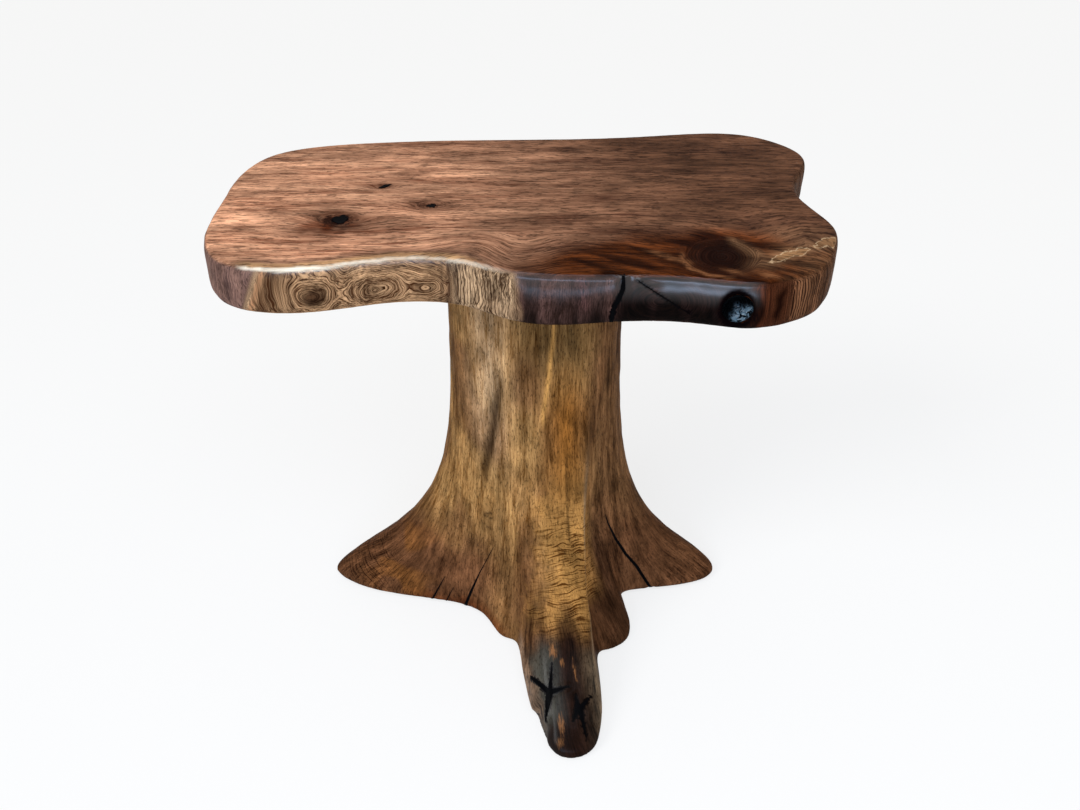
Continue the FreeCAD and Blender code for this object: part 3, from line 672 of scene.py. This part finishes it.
# torn pale wood near the right corner, brightest along its rim
tornAway = raggedEdge(tree, "paleAway", 16, 8.0, 4.0, 0.6)
torn = addNode(tree, "MapRange", {0: tornAway, 1: 7.0, 2: -2.0})
tornShade = addNode(tree, "MapRange", {0: topFigure, 3: 0.2, 4: 0.8})
torn = addNode(tree, "Math", {0: torn, 1: tornShade}, operation="MULTIPLY")
rimOff = addNode(tree, "Math", {0: tornAway, 1: 3.0}, operation="SUBTRACT")
rimOff = addNode(tree, "Math", {0: rimOff}, operation="ABSOLUTE")
tornRim = addNode(tree, "MapRange", {0: rimOff, 1: 0.0, 2: 2.0, 3: 0.6, 4: 0.0})
poreShade = addNode(tree, "Math", {0: pores, 1: 0.6}, operation="MULTIPLY")
for share, shade in ((torn, "paleWood"), (tornRim, "paleRim"), (poreShade, "pore")):
    colour = addNode(tree, "Mix", {0: share, 6: colour, 7: slab[shade]}, out=2, data_type="RGBA")
cloudShade = addNode(tree, "MapRange", {0: clouds, 1: 0.32, 2: 0.68, 3: 0.62, 4: 1.3})
colour = addNode(tree, "VectorMath", {0: colour, 1: cloudShade}, operation="MULTIPLY")
# the cream line of sapwood along the front arris, whitened to a painted highlight
sapWander = addNode(tree, "MapRange", {0: topFigure, 3: -1.5, 4: 1.5})
sapEdge = addNode(tree, "Math", {0: sapAway, 1: sapWander}, operation="ADD")
sapHighlightBand = addNode(tree, "MapRange", {0: sapEdge, 1: 3.4, 2: -2.6}, interpolation_type="SMOOTHSTEP")
sapHighlightBand = addNode(tree, "Math", {0: sapHighlightBand, 1: sapAlong}, operation="MULTIPLY")
# the big knot's dark stain, resin soaked a little way into the wood round it, and painted shadow round the
# knot hole
stained = raggedEdge(tree, "stainAway", 11, 12.0, 4.0, 0.68)
stained = addNode(tree, "MapRange", {0: stained, 1: 9.0, 2: 1.0, 3: 0.0, 4: 0.85})
soaked = raggedEdge(tree, "resinAway", 3.5, 1.8, 3.0)
soaked = addNode(tree, "MapRange", {0: soaked, 1: 1.6, 2: 0.6})
for share, shade in ((sapHighlightBand, "sapLine"), (stained, "knotBlack"), (soaked, "burlDark")):
    colour = addNode(tree, "Mix", {0: share, 6: colour, 7: slab[shade]}, out=2, data_type="RGBA")
oiledWood(tree, slab, colour, figure, figureDark, pores, rubbedGloss)
slabMesh.materials.clear()
slabMesh.materials.append(walnut)
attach(slabPiece, "root")
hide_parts("tabletop")
print("slab finished")

# the stump: azimuth in degrees round the trunk's axis, 270 to the front, heights in mm from the floor
stump = {
    "voxel": 3.1,
    "fills": [
        "left_root_crack_fills", "right_root_crack_fill", "front_toe_star_fill", "front_toe_shake_fill",
    ],
    "underResin": 0.5,
    "flutes": 1.0,  # depth of the fluting
    "toeNotch": 8.0,  # depth of the bite in the left of the front toe
    "trunkRadius": 110,  # where the grain of the trunk is drawn at its true size
    "rootRadius": 290,  # and that of the roots
    # heights, with the azimuth of the front root's crest, then with how far it stands out
    "ridge": ([0, 40, 72, 147, 264, 420], [282, 285, 288.5, 298, 305, 309]),
    "ridgeTall": ([0, 40, 80, 130, 220, 330, 430], [0, 1, 5, 7, 5, 2.5, 0]),
    # heights, with the azimuth of each mark that climbs the trunk
    "groove": ([245, 420], [232, 247]),
    "paleStreak": ([376, 436, 502], [275.5, 279.3, 282.4]),
    "hairCrack": ([180, 305], [288.8, 290.8]),
    "hairSplit": ([62, 124], [318.8, 318.2]),
    "embers": [  # bright streaks on the dark toe: radius, azimuth, half length, half width in degrees
        (247, 275.6, 14, 2.2), (274, 281.2, 24, 0.7), (330, 276.0, 18, 1.3), (347, 275.4, 10, 1.5),
        (262, 278, 9, 1.0),
    ],
    "pinKnots": [(236.3, 190), (234.2, 186), (238.3, 193), (239.0, 184)],  # azimuth, height
    "satin": (0.55, 0.45), "bump": (0.5, 0.0006), "coat": (0.25, 1.5),
    "woodLight": "#ba8e58", "woodDark": "#5d3a16", "rootLight": "#7d5336", "rootDark": "#2a1509",
    "amber": "#b06f2b", "smoke": "#c6a580", "rust": "#7d4121", "curlLight": "#d99f58", "curlDark": "#5c3613",
    "toeLight": "#2c1a13", "toeDark": "#080403", "toeGrey": "#45443b", "toeGreyDark": "#31302a",
    "toeEdge": "#a98566", "crestPale": "#a68a6a", "ember": "#8f5f38", "pore": "#1c0f06",
}

stumpPiece = grownSkin("walnutStump", "stump", stump["fills"], stump["voxel"])
stumpMesh = stumpPiece.data
points, normals = pointsAndNormals(stumpMesh)
outX = points[:, 0] - trunkAxis.x * mm
outY = points[:, 1] - trunkAxis.y * mm
height = points[:, 2]
radius = np.hypot(outX, outY)
azimuth = np.degrees(np.arctan2(outY, outX)) % 360
degreeArc = radius * 0.0175  # millimetres round the trunk in a degree
resin = resinDistance([cadNodes[nodeName].data for nodeName in stump["fills"]])
side = np.clip(softStep(0.9, 0.7, np.abs(normals[:, 2])) + span(height, 20, 40, 500, 535), 0, 1)

# the front root's ridge swings to the right as it climbs, with a steep right flank
ridgeAt = np.interp(height, *stump["ridge"])
swell = hump(azimuth, ridgeAt, 6) - 0.7 * hump(azimuth, ridgeAt + 15, 8)
swell *= np.interp(height, *stump["ridgeTall"])
grooveAt = np.interp(height, *stump["groove"])
swell -= 5 * hump(azimuth, grooveAt, 3.2) * span(height, 225, 275, 390, 445)
turn = np.radians(azimuth)
flow = radius - height  # down the trunk and out along the roots
trunkRadius = stump["trunkRadius"]
ringed = np.column_stack([np.cos(turn) * trunkRadius, np.sin(turn) * trunkRadius, 0.12 * flow])
grown = 1 - 0.8 * softStep(205, 240, radius) * span(azimuth, 250, 260, 300, 312)
swell += grown * stump["flutes"] * (1.4 * cloudNoise(ringed, 38, 21) + 0.6 * cloudNoise(ringed, 13, 22))
swell += grown * 0.5 * cloud(17, 23)
notch = span(radius, 288, 300, 325, 348) * span(azimuth, 255, 262, 271, 274.5)
swell -= stump["toeNotch"] * notch * softStep(60, 40, height)
swell = swell * side * softStep(0.5, 8, resin) - stump["underResin"] * (1 - softStep(2, 7, resin))
moveSkin(stumpMesh, points + normals * swell[:, None])
print("stump skin:", len(stumpMesh.polygons), "faces")

lean = turn + (3 * cloud(90, 24) + 0.8 * cloud(30, 25)) / trunkRadius


# a grain direction wound on a cylinder
def barrelGrain(run, size):
    return np.column_stack([run, np.cos(lean) * size, np.sin(lean) * size])


# where each tone lies
low = softStep(215, 75, height + 30 * cloud(50, 26) + 12 * cloud(16, 29))
low *= 1 - 0.5 * hump(azimuth, 256, 16) * softStep(250, 180, radius)
turned = np.where(azimuth < 90, azimuth + 360, azimuth)
paintedRightShade = span(turned, 298, 325, 375, 425)
leftTip = hump(azimuth, 186, 25) * softStep(255, 310, radius)
frontSide = span(azimuth, 255, 262, 300, 312)
toe = softStep(188, 266, radius + 14 * cloudNoise(ringed, 11, 27) + 9 * cloud(12, 30)) * frontSide
toeEdge = frontSide * softStep(180, 205, radius) * softStep(58, 40, height + 5 * cloud(14, 31))
toeEdge *= softStep(273, 268, azimuth)
curl = softStep(263, 283, azimuth + 6 * cloud(26, 32) + 4 * cloud(8, 37)) * softStep(313, 298, azimuth)
curl *= span(height, 50, 85, 170, 340) * (1 - toe)
amber = hump(azimuth, 291, 12) * span(height, 180, 260, 360, 470)
pale = 0.95 * hump(azimuth, np.interp(height, *stump["paleStreak"]), 1.2) * span(height, 350, 380, 500, 540)
hairAway = (azimuth - np.interp(height, *stump["hairCrack"])) * degreeArc
splitAway = (azimuth - np.interp(height, *stump["hairSplit"])) * degreeArc
hair = 0.8 * hump(hairAway, 0, 1.6) * span(height, 165, 190, 290, 330)
hair += hump(splitAway, 0, 1.4) * span(height, 45, 62, 120, 130)
grooveShade = hump(azimuth, grooveAt, 3.5) * span(height, 235, 280, 395, 445)
pinShade = np.zeros(len(points))
for pinAzimuth, pinHeight in stump["pinKnots"]:
    away = np.hypot((azimuth - pinAzimuth) * degreeArc, height - pinHeight)
    pinShade = np.maximum(pinShade, hump(away, 0, 2.4))
ember = np.zeros(len(points))
for emberRadius, emberAzimuth, halfLong, halfWide in stump["embers"]:
    ember = np.maximum(ember, hump(radius, emberRadius, halfLong) * hump(azimuth, emberAzimuth, halfWide))

# golden sapwood, browner low down, painted shade on the right side, the front toe nearly black
rootWood = plainWood(stump, "woodLight", "woodDark")
brown = softStep(-0.1, 0.6, cloud(42, 33, (1, 1, 0.5)))
stain(rootWood, stump, "rootLight", "rootDark", 0.7 * brown, 0.5 * brown)
stain(rootWood, stump, "rootLight", "rootDark", low)
# painted shade: the side away from the key light is darkened
stain(rootWood, stump, "rootLight", "rootDark", 0.78 * paintedRightShade, 0.85 * paintedRightShade)
smoke = hump(azimuth, 238, 15) * softStep(220, 430, height)
stain(rootWood, stump, "smoke", "woodLight", 0.85 * smoke, 0.2 * smoke)
goldPatch = softStep(0.05, 0.5, cloud(24, 44, (0.7, 1, 1))) * hump(radius, 210, 45)
goldPatch *= span(azimuth, 180, 195, 240, 262) * softStep(190, 120, height)
stain(rootWood, stump, "amber", None, 0.4 * goldPatch)
rust = softStep(34, 12, height + 6 * cloud(18, 46)) * span(azimuth, 200, 215, 250, 262)
stain(rootWood, stump, "rust", None, 0.8 * rust)
# painted shade on the right flank of the front root
flank = hump(azimuth, 312, 9) * softStep(210, 110, height)
stain(rootWood, stump, "toeLight", "toeDark", 0.55 * flank, 0.5 * flank)
# painted shadow of the slab on the top of the trunk
paintedSlabShadow = 1 - 0.53 * softStep(380, 480, height) * span(azimuth, 250, 268, 295, 318)
brighten(rootWood, paintedSlabShadow, paintedSlabShadow)
stain(rootWood, stump, "amber", "curlDark", 0.8 * amber, 0.6 * amber)
stain(rootWood, stump, "curlLight", "curlDark", curl)
toeShares = (np.clip(toe + share * leftTip, 0, 1) for share in (0.45, 0.5))
stain(rootWood, stump, "toeLight", "toeDark", *toeShares)
# painted sheen: a grey reflection on the left flank of the dark toe
paintedToeSheen = softStep(279, 274, azimuth) * softStep(336, 318, radius)
paintedToeSheen *= softStep(222, 250, radius + 5 * cloud(14, 49))
stain(rootWood, stump, "toeGrey", "toeGreyDark", 0.8 * frontSide * paintedToeSheen)
# painted sheen: pale grey along the toe's right crest
paintedCrestSheen = frontSide * hump(azimuth, 288, 3.5) * softStep(235, 270, radius)
stain(rootWood, stump, "crestPale", "toeGreyDark", 0.85 * paintedCrestSheen, 0.6 * paintedCrestSheen)
stain(rootWood, stump, "toeEdge", "rootDark", toeEdge)
stain(rootWood, stump, "curlLight", "curlLight", pale, 0.6 * pale)
for shade in (0.75 * grooveShade, 0.9 * pinShade, 0.9 * np.clip(hair, 0, 1)):
    stain(rootWood, stump, "rootDark", "toeDark", shade)
# painted highlight: a pale line along the front root's crest
crest = 0.75 * hump((azimuth - ridgeAt - 1.5) * degreeArc, 0, 4) * span(height, 30, 80, 200, 330)
stain(rootWood, stump, "crestPale", "crestPale", crest, 0.7 * crest)
mottle = 1 + 0.2 * cloud(30, 34, (1, 1, 0.6)) + 0.16 * cloud(11, 35, (1, 1, 0.6))
brighten(rootWood, mottle, mottle)
rootCross = 0.55 * hump(azimuth, 189, 13) * span(radius, 205, 235, 285, 310)
setFields(stumpMesh, {
    "trunkGrain": barrelGrain(flow, trunkRadius), "rootGrain": barrelGrain(flow, stump["rootRadius"]),
    "onRoots": softStep(135, 230, radius), "lightWood": rootWood[0], "darkWood": rootWood[1],
    "curl": curl, "ember": ember, "wrinkle": np.clip(curl * softStep(280, 150, height) + rootCross, 0, 1),
    "wrinkleGrain": barrelGrain(flow + 6 * cloud(24, 42) + 2.5 * cloud(10, 43), trunkRadius),
    "resinAway": resin + 8 * (1 - toe),
    "polish": toe * softStep(225, 275, radius) * (0.03 + 0.2 * softStep(279, 272, azimuth)),
})

# walnut root stump, bark stripped, sanded and oiled: fibrous streaks, curl on the front root, dark toe
stumpWalnut = newMaterial("walnutStumpOiled")
tree = stumpWalnut.node_tree
trunkField, rootField, lightWood, darkWood, wrinkleGrain = (
    addNode(tree, "Attribute", attribute_name=name, out="Vector")
    for name in ("trunkGrain", "rootGrain", "lightWood", "darkWood", "wrinkleGrain")
)
rootMask, curlMask, wrinkleMask, emberMask, rubbedGloss = (
    addNode(tree, "Attribute", attribute_name=name, out="Fac")
    for name in ("onRoots", "curl", "wrinkle", "ember", "polish")
)
# fibres 1.7 mm and pores 1.5 mm wide, drawn coarser than the real ones so that they show
trunkLayers = woodFigure(tree, trunkField, [(90, 8, 5), (24, 1.7, 4), (7, 1.5, 2), (60, 20, 5)], 0.42, 0.13)
rootLayers = woodFigure(tree, rootField, [(110, 9, 5), (34, 2.0, 3), (7, 1.4, 1), (60, 22, 5)], 0.45, 0.14)
figure, pores, clouds = (
    addNode(tree, "Mix", {0: rootMask, 2: trunk, 3: root}) for trunk, root in zip(trunkLayers, rootLayers)
)
# curl: dark wrinkles across the grain, 2.6 mm by 18 mm, over wood that is otherwise smooth
stretch = (1 / 2.6, 1 / 18, 1 / 18)
scaled = addNode(tree, "VectorMath", {0: wrinkleGrain, 1: stretch}, operation="MULTIPLY")
curlNoise = addNode(tree, "TexNoise", {"Vector": scaled, "Scale": 1.0, "Detail": 1.5, "Distortion": 0.5})
curlLine = addNode(tree, "MapRange", {0: curlNoise, 1: 0.52, 2: 0.64})
curlDark = addNode(tree, "Math", {0: curlLine, 1: wrinkleMask}, operation="MULTIPLY")
smoothed = addNode(tree, "Mix", {0: curlMask, 2: figure, 3: 0.75})
curled = addNode(tree, "Mix", {0: 0.65, 2: figure, 3: smoothed})
figureDark = addNode(tree, "Math", {0: curled, 1: curlDark}, operation="SUBTRACT", use_clamp=True)
colour = addNode(tree, "Mix", {0: figureDark, 6: darkWood, 7: lightWood}, out=2, data_type="RGBA")
# bright fibres torn up on the dark toe, 14 mm by 1.5 mm
stretch = (1 / 14, 1 / 1.5, 1 / 1.5)
scaled = addNode(tree, "VectorMath", {0: rootField, 1: stretch}, operation="MULTIPLY")
emberNoise = addNode(tree, "TexNoise", {"Vector": scaled, "Scale": 1.0, "Detail": 3.0})
emberLift = addNode(tree, "Math", {0: emberNoise, 1: emberMask}, operation="MULTIPLY")
emberShare = addNode(tree, "MapRange", {0: emberLift, 1: 0.3, 2: 0.55, 3: 0.0, 4: 0.8})
poreShade = addNode(tree, "Math", {0: pores, 1: 0.55}, operation="MULTIPLY")
for share, shade in ((emberShare, "ember"), (poreShade, "pore")):
    colour = addNode(tree, "Mix", {0: share, 6: colour, 7: stump[shade]}, out=2, data_type="RGBA")
cloudShade = addNode(tree, "MapRange", {0: clouds, 1: 0.34, 2: 0.66, 3: 0.62, 4: 1.32})
colour = addNode(tree, "VectorMath", {0: colour, 1: cloudShade}, operation="MULTIPLY")
soaked = raggedEdge(tree, "resinAway", 4, 2.0, 3.0)
soaked = addNode(tree, "MapRange", {0: soaked, 1: 2.2, 2: 1.2})
colour = addNode(tree, "Mix", {0: soaked, 6: colour, 7: stump["toeDark"]}, out=2, data_type="RGBA")
oiledWood(tree, stump, colour, figure, figureDark, pores, rubbedGloss)
stumpMesh.materials.clear()
stumpMesh.materials.append(stumpWalnut)
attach(stumpPiece, "root")
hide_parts("stump")
print("stump finished")

# poured black epoxy, polished flush: deep black with a clear reflection and faint scratches
resinLook = {
    "colours": ("#040405", "#0a0a0b"), "cloud": 14, "scratch": 0.9,
    "glossFrom": (0.3, 0.7), "gloss": (0.1, 0.2), "bump": (0.08, 0.0003),
}
epoxy = newMaterial("epoxyBlackPolished")
tree = epoxy.node_tree
place = addNode(tree, "TexCoord", out="Object")
haze = addNode(tree, "TexNoise", {"Vector": place, "Scale": mm / resinLook["cloud"], "Detail": 3.0})
scratches = addNode(tree, "TexNoise", {"Vector": place, "Scale": mm / resinLook["scratch"], "Detail": 2.0})
plainFinish(tree, resinLook, haze, scratches, {"IOR": 1.55, "Specular IOR Level": 0.004})

# the same epoxy brushed thickly into the knot hole: it set in ropy wrinkles that catch the light, with a
# painted bluish highlight in its colour
liningLook = {
    "colours": ("#030405", "#0b0e11"), "paintedGlint": "#7c9db2", "wrinkle": 5.0,
    "outer": 16.6, "lip": 16.3, "deep": 26, "recess": 3.0,  # of the bowl, in mm
}
liningPiece = brushedBowl(
    "knotHoleEpoxy", "knot_hole_lining", *(liningLook[name] for name in ("outer", "lip", "deep", "recess"))
)
points, normals = pointsAndNormals(liningPiece.data)
fallen = 0.55 * (points[:, 0] - holeX) - 0.83 * (points[:, 2] - holeZ)  # towards the lower right
wetShare = softStep(5, 12, fallen + 2.5 * cloud(5, 53)) * softStep(-129, -126, points[:, 1])
setFields(liningPiece.data, {"wetShare": wetShare})
lining = newMaterial("epoxyBlackBrushed")
tree = lining.node_tree
place = addNode(tree, "TexCoord", out="Object")
wrinkles = addNode(
    tree, "TexNoise", {"Vector": place, "Scale": mm / liningLook["wrinkle"], "Detail": 2.0, "Distortion": 1.2}
)
under, over = liningLook["colours"]
colour = addNode(tree, "Mix", {0: wrinkles, 6: under, 7: over}, out=2, data_type="RGBA")
wet = addNode(tree, "Attribute", attribute_name="wetShare", out="Fac")
ropes = addNode(tree, "MapRange", {0: wrinkles, 1: 0.42, 2: 0.54})
shine = addNode(tree, "Math", {0: wet, 1: ropes}, operation="MULTIPLY")
# painted highlight: a bluish tint mixed into the colour where the resin is glossy
paintedGlint = addNode(tree, "Math", {0: shine, 1: 0.5}, operation="MULTIPLY")
colour = addNode(tree, "Mix", {0: paintedGlint, 6: colour, 7: liningLook["paintedGlint"]}, out=2, data_type="RGBA")
gloss = addNode(tree, "MapRange", {0: wrinkles, 1: 0.3, 2: 0.7, 3: 0.2, 4: 0.3})
bumped = addNode(tree, "Bump", {"Strength": 1.0, "Distance": 0.004, "Height": wrinkles})
surface = addNode(tree, "BsdfPrincipled", {
    "Base Color": colour, "Roughness": gloss, "IOR": 1.55, "Specular IOR Level": 0.01, "Normal": bumped,
    "Coat Weight": shine, "Coat Roughness": 0.1, "Coat IOR": 1.8, "Coat Normal": bumped,
})
addNode(tree, "OutputMaterial", {"Surface": surface})
liningPiece.data.materials.append(lining)

# mild steel, black stove paint: fine orange peel, low gloss
paintLook = {
    "colours": ("#1b1b1c", "#2c2a28"), "patch": 30, "peel": 1.2, "gloss": (0.4, 0.6), "bump": (0.15, 0.0002),
}
paint = newMaterial("steelBlackPainted")
tree = paint.node_tree
place = addNode(tree, "TexCoord", out="Object")
patches = addNode(tree, "TexNoise", {"Vector": place, "Scale": mm / paintLook["patch"], "Detail": 4.0})
peel = addNode(tree, "TexNoise", {"Vector": place, "Scale": mm / paintLook["peel"], "Detail": 2.0})
plainFinish(tree, paintLook, patches, peel, {"IOR": 1.5})

# zinc plated steel, passivated: bright grey with a faint blue and yellow bloom
zincLook = {"colours": ("#b9bcc0", "#c6c2ae"), "spot": 2.5, "gloss": (0.25, 0.4), "bump": (0.1, 0.0001)}
zinc = newMaterial("steelZincPlated")
tree = zinc.node_tree
place = addNode(tree, "TexCoord", out="Object")
spots = addNode(tree, "TexNoise", {"Vector": place, "Scale": mm / zincLook["spot"], "Detail": 3.0})
plainFinish(tree, zincLook, spots, spots, {"Metallic": 1.0})

# brass, turned: warm yellow with fine tool rings
brassLook = {"colours": ("#a8853f", "#c9a45c"), "ring": 0.6, "gloss": (0.35, 0.25), "bump": (0.1, 0.0001)}
brass = newMaterial("brassTurned")
tree = brass.node_tree
place = addNode(tree, "TexCoord", out="Object")
toolRings = addNode(
    tree, "TexWave", {"Vector": place, "Scale": 314 / brassLook["ring"], "Distortion": 0.5}, out="Fac",
    bands_direction="Z",
)
plainFinish(tree, brassLook, toolRings, toolRings, {"Metallic": 1.0})

# wool felt, pressed: matt, fuzzy, with lighter loose fibres
feltLook = {"colours": ("#2f2620", "#54473c"), "fibreLength": 5.0, "fibreWidth": 0.7, "bump": (0.6, 0.0006)}
felt = newMaterial("feltPressed")
tree = felt.node_tree
place = addNode(tree, "TexCoord", out="Object")
fineness = mm / feltLook["fibreWidth"]
stretch = (mm / feltLook["fibreLength"], fineness, fineness)
scaled = addNode(tree, "VectorMath", {0: place, 1: stretch}, operation="MULTIPLY")
fibres = addNode(tree, "TexNoise", {"Vector": scaled, "Scale": 1.0, "Detail": 4.0, "Distortion": 1.5})
plainFinish(tree, feltLook, fibres, fibres, {"Roughness": 0.95, "Sheen Weight": 0.3, "IOR": 1.45})

finishes = {
    "mounting_plate": paint, "stump_screws": zinc, "top_bolts": zinc, "top_bolt_washers": zinc,
    "threaded_inserts": brass,
    "foot_pad_left": felt, "foot_pad_front": felt, "foot_pad_right": felt, "foot_pad_rear": felt,
}
for nodeName in crackNodes + stump["fills"]:
    finishes[nodeName] = epoxy
for plug in plugs:
    plug.data.materials.append(epoxy)
for nodeName, material in finishes.items():
    for materialSlot in cadNodes[nodeName].material_slots:
        materialSlot.material = material
print("hardware and resin finished:", len(finishes))

# pale floor, white beyond, soft light from above and the left
studio = {
    "floor": "#f3f3f1", "floorSize": 60, "paper": 0.75, "sky": 0.5, "sun": 1.25, "sunAngle": 25,
    "softbox": 16, "frontbox": 36, "daylight": "#e4efff", "skylight": "#c2dbff", "aim": (0, 0, 0.4),
}
white = (1, 1, 1, 1)


# 1 for rays that end in the picture, straight or mirrored or passed through, and 0 for scattered light
def seenShare(tree):
    seen, mirrored, through = (
        addNode(tree, "LightPath", out="Is %s Ray" % kind) for kind in ("Camera", "Glossy", "Transmission")
    )
    share = addNode(tree, "Math", {0: seen, 1: mirrored}, operation="MAXIMUM")
    return addNode(tree, "Math", {0: share, 1: through}, operation="MAXIMUM")


floorMesh = bpy.data.meshes.new("studioFloor")
half = studio["floorSize"] / 2
corners = [(-half, -half, 0), (half, -half, 0), (half, half, 0), (-half, half, 0)]
floorMesh.from_pydata(corners, [], [(0, 1, 2, 3)])
floor = addObject("studioFloor", floorMesh)
# white background paper, matt: the camera sees it part lit, so that the shadow stays soft
floorPaint = newMaterial("paperWhiteMatt")
tree = floorPaint.node_tree
paperShare = addNode(tree, "Math", {0: seenShare(tree), 1: studio["paper"]}, operation="MULTIPLY")
lit = addNode(tree, "BsdfDiffuse", {"Color": studio["floor"]})
shown = addNode(tree, "Emission", {"Color": white, "Strength": 1.0})
addNode(tree, "OutputMaterial", {"Surface": addNode(tree, "MixShader", {0: paperShare, 1: lit, 2: shown})})
floorMesh.materials.append(floorPaint)

world = bpy.data.worlds.new("studioWhite")
bpy.context.scene.world = world
world.use_nodes = True
tree = world.node_tree
tree.nodes.clear()
lit = addNode(tree, "Background", {"Color": white, "Strength": studio["sky"]})
shown = addNode(tree, "Background", {"Color": white, "Strength": 1.0})
addNode(tree, "OutputWorld", {"Surface": addNode(tree, "MixShader", {0: seenShare(tree), 1: lit, 2: shown})})

# a broad sun for the even light, a softbox overhead, and one low in front for the sheen on the rubbed edge
lamps = {  # place, energy, size and colour of a softbox
    "keySun": ((-1.5, -1.0, 1.9), studio["sun"], None, None),
    "topSoftbox": ((0.1, -1.0, 2.1), studio["softbox"], (1.6, 0.7), studio["daylight"]),
    "frontSoftbox": ((-0.2, -3.0, 1.15), studio["frontbox"], (2.2, 0.8), studio["skylight"]),
}
for name, (place, energy, size, shade) in lamps.items():
    lampData = bpy.data.lights.new(name, "AREA" if size else "SUN")
    lampData.energy = energy
    if size:
        lampData.shape = "RECTANGLE"
        lampData.size, lampData.size_y = size
        lampData.color = linearFromHex(shade)[:3]
    else:
        lampData.angle = math.radians(studio["sunAngle"])
    lamp = addObject(name, lampData)
    lamp.location = place
    lamp.rotation_euler = (Vector(studio["aim"]) - Vector(place)).to_track_quat("-Z", "Y").to_euler()
bpy.context.scene.view_settings.view_transform = "Standard"
print("studio set")
